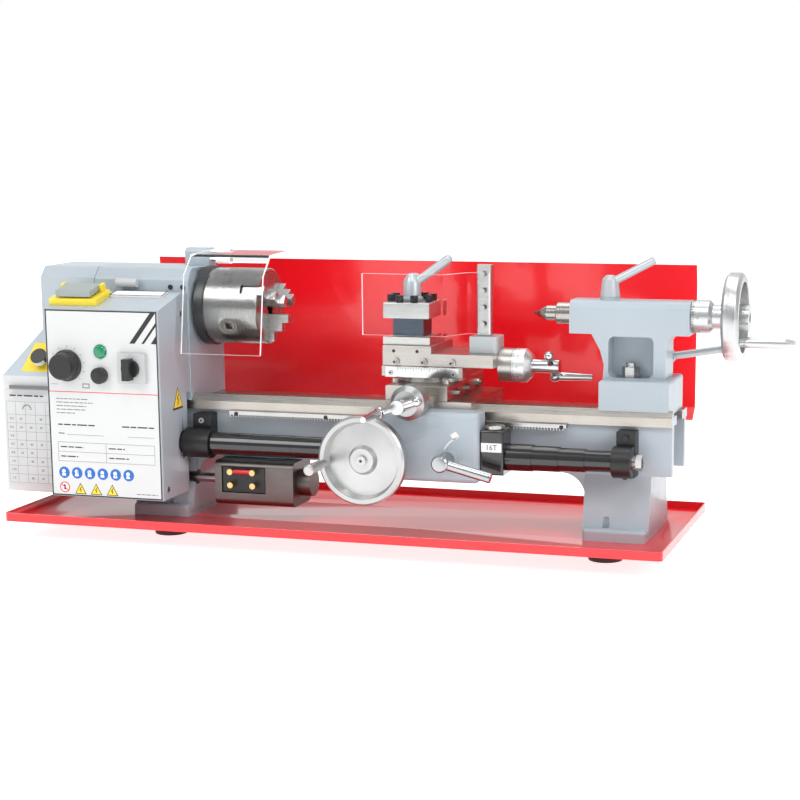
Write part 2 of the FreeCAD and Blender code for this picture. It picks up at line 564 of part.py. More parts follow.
def cover_shape(name, wall):
    """The gear cover's outer form, or with a wall the space inside it."""
    right = "head_left - cover_gap" + (" + 5" if wall != "0" else "")
    front_right = f"box_left - cover_gap - {wall}"
    low = f"cover_low + {wall}"
    lower = box(name + "_lower", (f"cover_out + {wall}", front_right),
                (f"{wall} - cover_front", f"cover_back - {wall}"), (low, f"cover_shoulder - {wall} / 3"))
    rear = box(name + "_rear", (f"cover_left + {wall}", right),
               (f"{wall} - cover_back", f"cover_back - {wall}"), (low, "cover_hip"))
    hip = tapered(name + "_hip", (f"cover_out + {wall}", "box_left - cover_gap + 40"),
                  (f"{wall} - cover_front", f"cover_back - {wall}"),
                  (f"cover_shoulder - {wall} / 3", f"cover_hip - {wall} / 3"),
                  (f"cover_left + {wall}", "box_left - cover_gap + 40"),
                  (f"{wall} - cover_back", f"cover_back - {wall}"))
    hip = cut(name + "_hip_trim", hip, box(name + "_hip_side", (front_right, "head_left + 60"),
                                           ("-cover_front - 1", f"{wall} - cover_back"),
                                           ("cover_low", "cover_hip + 1")),
              box(name + "_hip_end", (right, "head_left + 60"), ("-cover_front", "cover_back"),
                  ("cover_low", "cover_hip + 1")))
    upper = prism(name + "_upper", "x", [
        (f"{wall} - cover_back", "cover_hip - 5"), (f"{wall} - cover_back",
                                                    f"head_top - head_bevel - {wall} / 2"),
        (f"head_bevel - cover_back + {wall} / 2", f"head_top - {wall}"),
        (f"cover_back - head_bevel - {wall} / 2", f"head_top - {wall}"),
        (f"cover_back - {wall}", f"head_top - head_bevel - {wall} / 2"), (f"cover_back - {wall}",
                                                                          "cover_hip - 5")],
        (f"cover_left + {wall}", right))
    return fuse(name, lower, rear, hip, upper)


def make_gear_cover():
    tail = rod("tail_opening", "x", "tail_hole", ("cover_out", "cover_left + 2 * cover_wall"), SPINDLE)
    screw_slot = box("bed_notch", ("head_left - 2", "head_left + 10"), ("-bed_half", "bed_half"),
                     ("cover_low", "bed_top"))
    screw_way = rod("cover_screw_way", "x", "screw_hole", ("box_left - 5", "box_left + 1"),
                    ("-screw_y", "screw_z"))
    belt_window = box("belt_window", ("box_left - 4", "head_left"), ("-cover_back - 1",
                                                                     "cover_wall - cover_back + 1"),
                      ("cover_low + cover_wall", "cover_shoulder"))
    keep("gear_cover", cut("cover_shell", cover_shape("cover_outer", "0"), cover_shape("cover_inner",
                                                                                       "cover_wall"),
                           tail, screw_slot, screw_way, belt_window))
    keep("gear_cover", box("chart", ("cover_out + chart_edge", "box_left - cover_gap - 1"),
                             ("-cover_front - chart_thick", "-cover_front"), ("chart_low", "chart_high")))
    rise, run = size("cover_hip - cover_shoulder"), size("cover_front - cover_back")
    slope = Vector(0, -rise, run)
    foot = ("knob_x", "-cover_front + (cover_front - cover_back) * knob_along",
            "cover_shoulder + (cover_hip - cover_shoulder) * knob_along")
    stem = leaning_rod("knob_stem", "knob_radius / 2", "knob_long / 2 + 2", foot, slope)
    stem_foot = Vector(*[size(text) for text in foot]) + slope.normalize() * 0.2
    stem.Placement = Placement(stem_foot, stem.Placement.Rotation)
    head = leaning_rod("knob_head", "knob_radius", "knob_long / 2", foot, slope)
    head.setExpression("Placement.Base.y", None)
    head.setExpression("Placement.Base.z", None)
    head.Placement = Placement(stem_foot + slope * size("knob_long") / 2, head.Placement.Rotation)
    keep("gear_cover", fuse("knob", stem, head))


# ---------------------------------------------------------------- control box and its controls
def make_control_box():
    def side(wall):
        return [(f"{wall} - box_front", f"box_low + {wall}"),
                (f"-box_lower_back + {wall}", f"box_low + {wall}"),
                (f"-box_lower_back + {wall}", f"box_step + {wall}"),
                (f"-box_upper_back + {wall}", f"box_step + {wall}"),
                (f"-box_upper_back + {wall}", f"box_peak - {wall}"), ("-box_slope_end",
                                                                      f"box_peak - {wall}"),
                (f"{wall} - box_front", f"box_high - {wall}")]
    outer = prism("box_block", "x", side("0"), ("box_left", "box_right"))
    inner = prism("box_inside", "x", side("box_wall"), ("box_left + box_wall", "box_right - box_wall"))
    tunnel = rod("box_tunnel", "x", "screw_hole", ("box_left - 1", "box_right + 1"), ("-screw_y", "screw_z"))
    shell = cut("box_shell", outer, inner, tunnel)
    front = ("-box_front - panel_thick - 1", "-box_front + box_wall + 1")
    stems = [rod("lamp_hole", "y", "4", front, ("lamp_x", "lamp_z")),
             rod("fuse_hole", "y", "5", front, ("fuse_x", "fuse_z")),
             rod("dial_hole", "y", "3.3", front, ("dial_x", "dial_z")),
             rod("rotary_hole", "y", "4.3", front, ("rotary_x", "rotary_z"))]
    holes = fuse("panel_holes", *stems)
    slope = box("button_pit", ("switch_x - 18", "switch_x + 18"), ("-switch_y - 9", "-switch_y + 9"),
                ("box_high - 12", "box_peak + 1"))
    keep("control_box", cut("box_body", shell, holes, slope))
    panel = box("panel", ("box_left + 1", "box_right - 1"), ("-box_front - panel_thick", "-box_front"),
                ("box_low + 1", "box_high - 1"))
    keep("control_panel", cut("panel_plate", panel, holes))
    make_panel_controls()
    make_stop_switch()


def make_panel_controls():
    face = "-box_front - panel_thick"
    lamp = turned("lamp", "y", [(f"{face} - lamp_out", "0"), (f"{face} - lamp_out", "lamp_radius - 2"),
                                (f"{face} - 1", "lamp_radius"), (face, "lamp_radius"), (face, "3.9"),
                                ("-box_front + 8", "3.9"), ("-box_front + 8", "0")], ("lamp_x", "lamp_z"))
    keep("panel_fittings", lamp)
    fuse_cap = turned("fuse_cap_turn", "y", [
        (f"{face} - fuse_out", "0"), (f"{face} - fuse_out", "fuse_radius - 1.5"),
        (f"{face} - fuse_out + 1.5", "fuse_radius"), (face, "fuse_radius"), (face, "4.9"),
        ("-box_front + 14", "4.9"), ("-box_front + 14", "0")], ("fuse_x", "fuse_z"))
    keep("panel_fittings", fuse_cap)
    knob = turned("speed_turn", "y", [
        (f"{face} - dial_out", "0"), (f"{face} - dial_out", "dial_radius - 2"),
        (f"{face} - dial_out + 2", "dial_radius - 1"), (f"{face} - 4", "dial_radius"),
        (f"{face} - 3", "dial_skirt"), (f"{face} - slide_gap", "dial_skirt"), (f"{face} - slide_gap", "3"),
        ("-box_front + 8", "3"), ("-box_front + 8", "0")], ("dial_x", "dial_z"))
    keep("speed_knob", knob)
    plate = box("rotary_block", ("rotary_x - rotary_half", "rotary_x + rotary_half"),
                (f"{face} - rotary_thick", face), ("rotary_z - rotary_half", "rotary_z + rotary_half"))
    bore = rod("rotary_bore", "y", "4.3", (f"{face} - rotary_thick - 1", f"{face} + 1"), ("rotary_x",
                                                                                          "rotary_z"))
    keep("panel_fittings", cut("rotary_frame", plate, bore))
    front = f"{face} - rotary_thick"
    disc = rod("rotary_disc", "y", "rotary_arm - 1.5", (f"{front} - 4", f"{front} - slide_gap"),
               ("rotary_x", "rotary_z"))
    arm = box("rotary_bar", ("rotary_x - rotary_wide / 2", "rotary_x + rotary_wide / 2"),
              (f"{front} - rotary_tall", f"{front} - 3"), ("rotary_z - rotary_arm", "rotary_z + rotary_arm"))
    stem = rod("rotary_stem", "y", "4", (f"{front} - 3", "-box_front + 10"), ("rotary_x", "rotary_z"))
    keep("rotary_handle", fuse("rotary", disc, arm, stem))


SLOPE_ANGLE = math.degrees(math.atan2(size("box_peak - box_high"), size("box_front - box_slope_end")))


def on_slope(piece, x, down, up):
    """Put a piece that is modelled flat onto the control box's sloping top.

    down is the distance in front of the switch's middle, up the height above the surface.
    """
    high = "(box_high + (box_peak - box_high) * (box_front - switch_y) / (box_front - box_slope_end))"
    tilt = Rotation(Vector(1, 0, 0), SLOPE_ANGLE)
    shift = tilt.multVec(Vector(size(x), -size(down), size(up)))
    middle = Vector(size("switch_x"), size("-switch_y"), size(high))
    piece.Placement = Placement(middle + shift, tilt)
    return piece


def slope_box(name, x, y, z):
    """A block given about the switch's middle, lying on the slope."""
    piece = doc.addObject("Part::Box", name)
    for side, (low, high) in zip(("Length", "Width", "Height"), (x, y, z)):
        bind(piece, side, f"({high}) - ({low})")
    return on_slope(piece, x[0], f"-({y[0]})", z[0])


def slope_rod(name, radius, x, low, high):
    piece = doc.addObject("Part::Cylinder", name)
    bind(piece, "Radius", radius)
    bind(piece, "Height", f"({high}) - ({low})")
    return on_slope(piece, x, "0", low)


def make_stop_switch():
    base = slope_box("switch_block", ("-switch_half", "switch_half"), ("-switch_deep", "switch_deep"),
                     ("0", "switch_tall"))
    wells = [slope_rod(f"well{number}", "button_radius + slide_gap", x, "-1", "switch_tall + 1")
             for number, x in enumerate(("-button_out", "button_out"))]
    keep("stop_switch_base", cut("switch_body", base, *wells))
    for name, x in (("start_button", "-button_out"), ("stop_button", "button_out")):
        button = slope_rod(name + "_rod", "button_radius", x, "switch_tall + button_proud - button_long",
                           "switch_tall + button_proud")
        keep(name, button)
    low = "switch_tall + flap_gap"
    lid = slope_box("flap_lid", ("-flap_half", "flap_half"), ("-flap_front", "flap_back"),
                    (low, f"{low} + flap_tall"))
    keep("stop_flap", lid)
    ears = [slope_box(f"flap_ear{number}", x, ("flap_back - 6", "flap_back + 2"),
                      ("switch_tall", f"{low} + flap_tall"))
            for number, x in enumerate((("-flap_half - 4", "-flap_half - slide_gap"),
                                        ("flap_half + slide_gap", "flap_half + 4")))]
    keep("stop_switch_base", group("ears", ears))
    plate = slope_box("display", ("display_left - switch_x", "display_right - switch_x"),
                      ("switch_y - display_front", "switch_y - display_back"), ("0", "display_thick"))
    keep("panel_fittings", plate)
    barrel = rod("gland_barrel", "x", "gland_radius", ("gland_x", "gland_x + gland_long"),
                 ("-head_half - gland_radius - 2", "gland_z"))
    foot = box("gland_foot", ("gland_x + 3", "gland_x + gland_long - 8"),
               ("-head_half - gland_radius", "-head_half"), ("gland_z - 3", "gland_z + 3"))
    keep("guard_hinge_block", fuse("gland", barrel, foot))


# ---------------------------------------------------------------- spindle, chuck and its guard
def make_spindle():
    keep("spindle", turned("spindle_turn", "x", [
        ("spindle_tail", "spindle_bore"), ("spindle_tail", "spindle_radius"),
        ("flange_rear", "spindle_radius"), ("flange_rear", "flange_radius"),
        ("flange_front", "flange_radius"), ("flange_front", "spindle_bore")], SPINDLE))
    nuts = []
    for number in range(3):
        turn = math.radians(size("jaw_angle") + 60 + 120 * number)
        y = f"-stud_circle * {math.cos(turn):.6f}"
        z = f"spindle_high + stud_circle * {math.sin(turn):.6f}"
        nuts.append(hexagon(f"flange_nut{number}", "nut_across", "nut_thick", "x",
                            "flange_rear - nut_thick", (y, z)))
    keep("spindle", group("nut_ring", nuts))
    keep("chuck_body", hollow("chuck_plate", "x", "chuck_radius", "spindle_bore",
                              ("flange_front", "chuck_split"), SPINDLE))
    make_chuck()
    keep("spindle", turned("spindle_pulley_turn", "x", [
        ("belt_left - pulley_rim", "spindle_radius"), ("belt_left - pulley_rim", "pulley_flange"),
        ("belt_left - belt_gap", "pulley_flange"), ("belt_left - belt_gap", "pulley_radius"),
        ("belt_left + belt_wide + belt_gap", "pulley_radius"),
        ("belt_left + belt_wide + belt_gap", "pulley_flange"),
        ("belt_left + belt_wide + pulley_rim", "pulley_flange"),
        ("belt_left + belt_wide + pulley_rim", "spindle_radius")], SPINDLE))
    keep("spindle", gear("spin_gear", "x", "spindle_gear", "spindle_teeth",
                              ("gear_left", "gear_left + gear_wide"), SPINDLE, "spindle_radius"))


def about_spindle(name, piece, angle):
    """Turn a piece made along +Y so that it points up and forward at an angle to the front."""
    holder = doc.addObject("Part::Compound", name)
    holder.Links = [piece]
    return place(holder, "0", "0", "spindle_high", Rotation(Vector(1, 0, 0), 180 - angle))


def make_chuck():
    body = turned("chuck_turn", "x", [
        ("chuck_split", "cavity_radius"), ("chuck_split", "chuck_radius"), ("chuck_face - 1",
                                                                            "chuck_radius"),
        ("chuck_face", "chuck_radius - 1"), ("chuck_face", "chuck_bore"), ("cavity_front", "chuck_bore"),
        ("cavity_front", "cavity_radius")], SPINDLE)
    slots, jaws = [], []
    for number in range(3):
        angle = size("jaw_angle") + 120 * number
        slot = box(f"slot{number}_block", ("cavity_front - 1", "chuck_face + 1"), ("0", "chuck_radius + 1"),
                   ("-jaw_wide / 2 - slide_gap / 2", "jaw_wide / 2 + slide_gap / 2"))
        slots.append(about_spindle(f"slot{number}", slot, angle))
        steps = [("cavity_front", "jaw_inner"), ("cavity_front", "jaw_outer"), ("chuck_face", "jaw_outer"),
                 ("chuck_face + jaw_step - 2", "jaw_outer"), ("chuck_face + jaw_step - 2",
                                                              "jaw_inner + 2 * jaw_land"),
                 ("jaw_tip - jaw_step + 1", "jaw_inner + 2 * jaw_land"),
                 ("jaw_tip - jaw_step + 1", "jaw_inner + jaw_land"), ("jaw_tip", "jaw_inner + jaw_land"),
                 ("jaw_tip", "jaw_inner")]
        jaw = prism(f"jaw{number}_form", "z", steps, ("-jaw_wide / 2", "jaw_wide / 2"))
        jaws.append(about_spindle(f"jaw{number}", jaw, angle))
    key_angle = -size("key_angle")
    key_hole = about_spindle("key_hole", rod("key_bore", "y", "pinion_radius + shaft_gap",
                                             ("cavity_radius - 2", "chuck_radius + 1"), ("pinion_x",
                                                                                         "0")), key_angle)
    key_dish = about_spindle("key_dish", rod("key_dish_rod", "y", "key_recess",
                                             ("chuck_radius - 0.8 - 1", "chuck_radius + 1"), ("pinion_x",
                                                                                              "0")),
                             key_angle)
    keep("chuck_body", cut("chuck", body, *slots, key_hole, key_dish))
    for number, jaw in enumerate(jaws, start=1):
        keep(f"chuck_jaw_{number}", jaw)
    keep("chuck_scroll", hollow("scroll", "x", "cavity_radius - slide_gap", "cavity_core",
                                ("cavity_front - scroll_thick - slide_gap",
                                 "cavity_front - slide_gap"), SPINDLE))
    stem = rod("pinion_stem", "y", "pinion_radius", ("pinion_inner", "chuck_radius - 1.5"), ("pinion_x",
                                                                                             "0"))
    socket = box("pinion_socket", ("pinion_x - key_square / 2", "pinion_x + key_square / 2"),
                 ("chuck_radius - key_deep", "chuck_radius + 1"), ("-key_square / 2", "key_square / 2"))
    keep("chuck_key_socket", about_spindle("pinion", cut("pinion_cut", stem, socket), key_angle))


def make_chuck_guard():
    half = "hinge_block_half"
    block = box("hinge_block", ("hinge_block_left", "head_right"), (f"hinge_y - {half}",
                                                                    f"hinge_y + {half}"),
                ("head_top", "hinge_z + hinge_hub"))
    block = rounded("hinge_block_round", block, "5", lambda edge: runs_along(edge, Vector(1, 0, 0))
                    and edge.CenterOfMass.z > 290)
    pin = rod("hinge_pin", "x", "hinge_rod", ("hinge_block_left + 2", "guard_left + hinge_long"),
              ("hinge_y", "hinge_z"))
    keep("guard_hinge_block", fuse("hinge", block, pin))
    front = [("-guard_low_y", "guard_low"), ("-guard_mid_y", "guard_mid"), ("-guard_high_y", "guard_high"),
             ("guard_back", "guard_high + 2")]
    back = [("guard_back", "guard_high + 2 - guard_sheet"), ("-guard_high_y + 1.5",
                                                             "guard_high - guard_sheet"),
            ("-guard_mid_y + guard_sheet", "guard_mid - 1"), ("-guard_low_y + guard_sheet", "guard_low")]
    sheet = prism("guard_form", "x", front + back, ("guard_left", "guard_right"))
    keep("chuck_guard", sheet)
    sleeve = hollow("guard_sleeve_tube", "x", "hinge_hub", "hinge_rod + shaft_gap",
                    ("guard_left", "guard_left + hinge_long - 1"), ("hinge_y", "hinge_z"))
    ledge = box("guard_ledge", ("guard_left", "guard_left + hinge_long - 1"), ("guard_back - 14",
                                                                               "hinge_y - hinge_hub + 1.5"),
                ("guard_high - guard_sheet - 2.5", "guard_high - guard_sheet + 1.2"))
    keep("chuck_guard", fuse("guard_sleeve", sleeve, ledge))


# ---------------------------------------------------------------- motor, belt and change gears
MOTOR = ("-motor_y", "motor_z")


def belt_loop(name, gap, width, left):
    """The outline of a belt round both pulleys, standing off them by a gap, as one solid."""
    top = rod(name + "_top", "x", f"pulley_radius + {gap}", (left, f"{left} + {width}"), SPINDLE)
    low = rod(name + "_low", "x", f"motor_pulley + {gap}", (left, f"{left} + {width}"), MOTOR)
    high_centre = Vector(0, 0, size("spindle_high"))
    low_centre = Vector(0, size("-motor_y"), size("motor_z"))
    reach = high_centre - low_centre
    big, small = size(f"pulley_radius + {gap}"), size(f"motor_pulley + {gap}")
    lean = math.asin((big - small) / reach.Length)
    along = math.atan2(reach.z, reach.y)
    corners = []
    for side in (1, -1):
        turn = along + side * (math.pi / 2 + lean)
        normal = Vector(0, math.cos(turn), math.sin(turn))
        corners.append((low_centre + normal * small, high_centre + normal * big))
    points = [corners[0][0], corners[0][1], corners[1][1], corners[1][0]]
    edges = Part.makePolygon([Vector(size(left), point.y, point.z) for point in points + points[:1]])
    strip = doc.addObject("Part::Feature", name + "_strip")
    strip.Shape = Part.Face(Part.Wire(edges)).extrude(Vector(size(width), 0, 0))
    return fuse(name, top, low, strip)


def make_drive():
    block = box("motor_block", ("motor_left", "motor_right"), ("-motor_y - motor_half",
                                                               "motor_half - motor_y"),
                ("motor_z - motor_drop", "motor_z + motor_drop"))
    block = rounded("motor_round", block, "motor_round", lambda edge: runs_along(edge, Vector(1, 0, 0)))
    recess = box("terminal_recess", ("terminal_left", "terminal_right"),
                 ("-motor_y - motor_half - 1", "-motor_y - motor_half + 3"), ("terminal_low",
                                                                              "terminal_high"))
    bore = rod("motor_bore", "x", "motor_shaft + slide_gap", ("motor_left - 1", "shaft_inner + 2"), MOTOR)
    keep("motor", cut("motor_casting", block, recess, bore))
    cap = box("cap_block", ("motor_right", "motor_right + motor_cap"),
              ("-motor_y - motor_half", "motor_half - motor_y"), ("motor_z - motor_drop",
                                                                  "motor_z + motor_drop"))
    cap = rounded("cap_round", cap, "motor_round", lambda edge: runs_along(edge, Vector(1, 0, 0)))
    boss = rod("cap_boss", "x", "motor_boss_radius", ("motor_right",
                                                      "motor_right + motor_cap + motor_boss"), MOTOR)
    keep("motor", fuse("motor_cap_solid", cap, boss))
    hanger = box("hanger", ("motor_left + 50", "motor_right - 8"), ("-motor_y - 10", "-motor_y + 22"),
                 ("motor_z + motor_drop", "bed_low"))
    keep("motor", hanger)
    face = "-motor_y - motor_half + 3"
    plate = box("terminal_block", ("terminal_left + 1", "terminal_right - 1"), (f"{face} - 2", face),
                ("terminal_low + 1", "terminal_high - 1"))
    keep("motor", plate)
    posts = [rod(f"terminal{number}", "y", "post_radius", (f"{face} - 2 - post_long", f"{face} - 2"), (x, z))
             for number, (x, z) in enumerate((("terminal_left + 12", "terminal_high - 5"),
                                              ("terminal_right - 12", "terminal_high - 5"),
                                              ("terminal_left + 12", "terminal_low + 9"),
                                              ("terminal_right - 12", "terminal_low + 9")))]
    keep("motor", group("post_set", posts))
    lead = rod("lead_link", "x", "2.4", ("terminal_left + 12 + post_radius + 0.1",
                                         "terminal_right - 12 - post_radius - 0.1"),
               (f"{face} - 2 - post_long / 2", "terminal_high - 5"))
    keep("motor", lead)
    keep("motor_shaft", rod("shaft", "x", "motor_shaft", ("belt_left - pulley_rim - 4", "shaft_inner"),
                            MOTOR))
    keep("motor_shaft", turned("motor_pulley_turn", "x", [
        ("belt_left - pulley_rim", "motor_shaft"), ("belt_left - pulley_rim", "motor_flange"),
        ("belt_left - belt_gap", "motor_flange"), ("belt_left - belt_gap", "motor_pulley"),
        ("belt_left + belt_wide + belt_gap", "motor_pulley"), ("belt_left + belt_wide + belt_gap",
                                                               "motor_flange"),
        ("belt_left + belt_wide + pulley_rim", "motor_flange"),
        ("belt_left + belt_wide + pulley_rim", "motor_shaft")], MOTOR))
    keep("drive_belt", cut("belt", belt_loop("belt_outer", "belt_gap + belt_thick", "belt_wide",
                                             "belt_left"),
                           belt_loop("belt_inner", "belt_gap", "belt_wide + 2", "belt_left - 1")))
    make_change_gears()


def make_change_gears():
    wide = ("gear_left", "gear_left + gear_wide")
    idler, stud, screw = ("-idler_y", "idler_z"), ("-stud_y", "stud_z"), ("-screw_y", "screw_z")
    plate = prism("quadrant_form", "x", [
        ("-screw_y - 11", "screw_z - 11"), ("-screw_y + 11", "screw_z - 11"), ("-stud_y + 14", "stud_z"),
        ("-idler_y + 13", "idler_z"), ("-idler_y + 6", "idler_z + 11"), ("-idler_y - 12", "idler_z + 7"),
        ("-stud_y - 14", "stud_z + 6")], ("plate_left", "plate_left + plate_thick"))
    pins = [rod(name, "x", "gear_pin", ("gear_left - 2", "plate_left + 1"), where)
            for name, where in (("idler_pin", idler), ("stud_pin", stud))]
    hole = rod("quadrant_hole", "x", "screw_radius + slide_gap", ("plate_left - 1",
                                                                  "plate_left + plate_thick + 1"),
               screw)
    keep("leadscrew_brackets", cut("quadrant", fuse("quadrant_solid", plate, *pins), hole))
    keep("idler_gear", gear("idler", "x", "idler_gear", "idler_teeth", wide, idler, "gear_pin + shaft_gap"))
    keep("stud_gear", gear("stud", "x", "stud_gear", "stud_teeth", wide, stud, "gear_pin + shaft_gap"))
    keep("leadscrew", gear("screwgear", "x", "screw_gear", "screw_teeth", wide, screw, "screw_radius"))
    keep("leadscrew_brackets", hollow("screw_tube", "x", "tube_radius", "screw_radius + slide_gap",
                                      ("plate_left + plate_thick", "left_block_left + 1"), screw))


# ---------------------------------------------------------------- leadscrew
SCREW = ("-screw_y", "screw_z")


def bracket(name, left, right):
    """A black end bracket that holds the leadscrew off the bed."""
    block = box(name + "_block", (left, right), ("-block_out", f"-({WALL_OUT})"), ("block_low",
                                                                                   "block_high"))
    block = rounded(name + "_round", block, "6", lambda edge: edge.CenterOfMass.y < -size("block_out") + 1)
    return block


def screw_cover(name, start, end, from_radius, to_radius, bore):
    """A telescopic spiral cover: tubes that overlap and step up in size."""
    steps = int(size("cover_steps"))
    rings = []
    for number in range(steps):
        low = f"{start} + (({end}) - ({start})) * {number} / cover_steps"
        high = f"{start} + (({end}) - ({start})) * {number + 1} / cover_steps"
        radius = f"{from_radius} + (({to_radius}) - ({from_radius})) * {number} / (cover_steps - 1)"
        rings.append(rod(f"{name}_ring{number}", "x", radius, (low, high), SCREW))
    return cut(name, fuse(name + "_solid", *rings),
               rod(name + "_bore", "x", bore, (f"{start} - 1", f"{end} + 1"), SCREW))


def make_leadscrew():
    keep("leadscrew", turned("screw_turn", "x", [
        ("screw_left", "0"), ("screw_left", "screw_radius"), ("right_block_right", "screw_radius"),
        ("right_block_right", "screw_radius - 2"), ("screw_right", "screw_radius - 2"), ("screw_right",
                                                                                         "0")],
        SCREW))
    left = bracket("left_bracket", "left_block_left", "left_block_right")
    keep("leadscrew_brackets", cut("left_bracket_body", left, rod(
        "left_bracket_hole", "x", "screw_radius + shaft_gap", ("left_block_left - 1",
                                                               "left_block_right + 1"),
        SCREW)))
    right = bracket("right_bracket", "right_block_left", "right_block_right")
    boss = rod("right_bracket_boss", "x", "block_boss", ("right_block_left", "right_block_right + 1"), SCREW)
    keep("leadscrew_brackets", cut("right_bracket_body", fuse("right_bracket_solid", right, boss), rod(
        "right_bracket_hole", "x", "screw_radius + shaft_gap", ("right_block_left - 1",
                                                                "right_block_right + 2"),
        SCREW)))
    nut = hexagon("screw_nut_block", "screw_nut", "screw_right - right_block_right + 1", "x",
                  "right_block_right + 1 + slide_gap", SCREW)
    keep("leadscrew", cut("screw_nut_ring", nut, rod(
        "screw_nut_hole", "x", "screw_radius - 2", ("right_block_right", "screw_right + 4"), SCREW)))
    bolts = [rod(f"bracket_bolt{number}", "y", "3.5", ("-block_out - 4", "-block_out"),
                 ("(right_block_left + right_block_right) / 2", z))
             for number, z in enumerate(("block_high - 9", "block_low + 8"))]
    keep("leadscrew_brackets", group("bracket_bolts", bolts))
    keep("left_screw_cover", screw_cover("left_cover", "left_cover_start", "apron_left - slide_gap",
                                         "left_cover_thin", "left_cover_fat", "screw_radius + 1.5"))
    keep("right_screw_cover", screw_cover("right_cover", "thread_box_right + slide_gap", "right_cover_end",
                                          "right_cover_fat", "right_cover_thin", "screw_radius + 1.5"))


# ---------------------------------------------------------------- saddle and apron
def handle(name, axis_foot, length, radius):
    """A turned grip along -Y, waisted at its foot."""
    x, y, z = axis_foot
    return turned(name, "y", [
        (f"{y} - ({length})", "0"), (f"{y} - ({length})", f"{radius} - 1.5"),
        (f"{y} - ({length}) + 2", radius), (f"{y} - ({length}) / 3", f"{radius} - 0.6"),
        (f"{y} - 3", f"{radius} - 2"), (y, f"{radius} - 2"), (y, "0")], (x, z))


def make_saddle():
    block = fuse("saddle_solid",
                 box("saddle_plate", ("saddle_left", "saddle_right"), ("-saddle_half", "saddle_half"),
                     ("skirt_low", "saddle_top")),
                 box("saddle_skirt", ("saddle_left", "saddle_right"), ("bed_half + slide_gap",
                                                                       "saddle_half"),
                     ("bed_top - way_deep", "saddle_top")),
                 dovetail_y("saddle_rail", "0", "-saddle_half", "saddle_half"))
    ways = prism("saddle_ways", "x", [
        ("-bed_half - slide_gap", "skirt_low - 20"), ("-bed_half - slide_gap", f"{VEE_FOOT} + slide_gap"),
        ("vee_half - bed_half", "bed_top + slide_gap"),
        ("2 * vee_half - bed_half + slide_gap", f"{VEE_FOOT} + slide_gap"),
        ("bed_half + slide_gap", f"{VEE_FOOT} + slide_gap"), ("bed_half + slide_gap", "skirt_low - 20")],
        ("saddle_left - 1", "saddle_right + 1"))
    channel = box("saddle_channel", ("cross_screw_x - cross_groove", "cross_screw_x + cross_groove"),
                  ("-saddle_half - 1", "saddle_half + 1"), ("saddle_top - 1", "cross_top"))
    keep("saddle", cut("saddle_body", block, ways, channel))
    keep("saddle", box("keep_strip", ("saddle_left + 8", "saddle_right - 8"),
                            (f"{WALL_OUT} + slide_gap + 0.3", "saddle_half - 1"),
                            ("keep_low", "bed_top - way_deep - slide_gap")))


def dovetail_y(name, grow, front, rear):
    """The cross slide's dovetail along Y; grow widens it into the matching groove."""
    foot = f"dovetail_foot + {grow}"
    flare = f"dovetail_foot + dovetail_flare + {grow}"
    top = f"saddle_top + dovetail_tall + {grow}"
    return prism(name, "y", [
        (f"cross_screw_x - ({foot})", "saddle_top - 1"), (f"cross_screw_x - ({foot})", "saddle_top"),
        (f"cross_screw_x - ({flare})", top), (f"cross_screw_x + {flare}", top),
        (f"cross_screw_x + {foot}", "saddle_top"), (f"cross_screw_x + {foot}", "saddle_top - 1")],
        (front, rear))


def make_apron():
    block = box("apron_block", ("apron_left", "apron_right"), ("-apron_front", "-saddle_half"),
                ("apron_low", "apron_high"))
    block = rounded("apron_round", block, "apron_round",
                    lambda edge: edge.CenterOfMass.y < -size("apron_front") + 1 or
                    (runs_along(edge, Vector(0, 1, 0)) and edge.CenterOfMass.z < 80))
    boss = rod("apron_boss", "y", "wheel_boss", ("-apron_front - boss_out", "-apron_front + apron_wall"),
               ("wheel_x", "screw_z"))
    cavity = box("apron_cavity", ("apron_left + apron_wall", "apron_right - apron_wall"),
                 ("-apron_front + apron_wall", "1 - saddle_half"), ("apron_low + apron_wall",
                                                                    "apron_high - apron_wall"))
    slot = box("apron_slot", ("apron_left - 1", "apron_right + 1"), ("-screw_y - 15", "1 - saddle_half"),
               ("screw_z - 15", "screw_z + 15"))
    holes = [rod("wheel_bore", "y", "wheel_shaft + shaft_gap", ("-apron_front - boss_out - 1",
                                                                "-apron_front + apron_wall + 1"),
                 ("wheel_x", "screw_z")),
             rod("lever_bore", "y", "5 + shaft_gap", ("-apron_front - 20", "-apron_front + apron_wall + 1"),
                 ("lever_x", "lever_z"))]
    pinion_room = rod("pinion_room", "y", "hand_pinion + tooth_tall", ("-apron_front + apron_wall",
                                                                       "1 - saddle_half"),
                      ("wheel_x", "screw_z"))
    lever_boss = rod("lever_boss", "y", "lever_hub + 2", ("-apron_front - 5", "-apron_front + 1"),
                     ("lever_x", "lever_z"))
    keep("apron", cut("apron_body", fuse("apron_solid", cut("apron_hollow", block, cavity, slot,
                                                            pinion_room),
                                         boss, lever_boss), *holes))
    make_carriage_wheel()
    make_half_nuts()
    make_thread_dial()


def reduction_phase(shift, rise):
    """The turn that sets a tooth of the reduction gear into a gap of the hand pinion."""
    line = math.degrees(math.atan2(rise, shift))
    pitch = 360 / size("hand_teeth")
    offset = line - pitch * (math.floor(line / pitch) + 0.5)
    return -(180 + line + offset * size("hand_pinion / reduction")) % (360 / size("reduction_teeth"))


def rack_phase(along):
    """The turn that sets a tooth of the rack wheel into the rack gap above it."""
    pitch = size(RACK_PITCH)
    first = size("rack_left") + pitch * 0.75 + size("tooth_wide") / 2
    gap = first + pitch * round((along - first) / pitch)
    lean = math.degrees((gap - along) / size("rack_pinion"))
    return (lean - 90) % (360 / size("rack_teeth"))


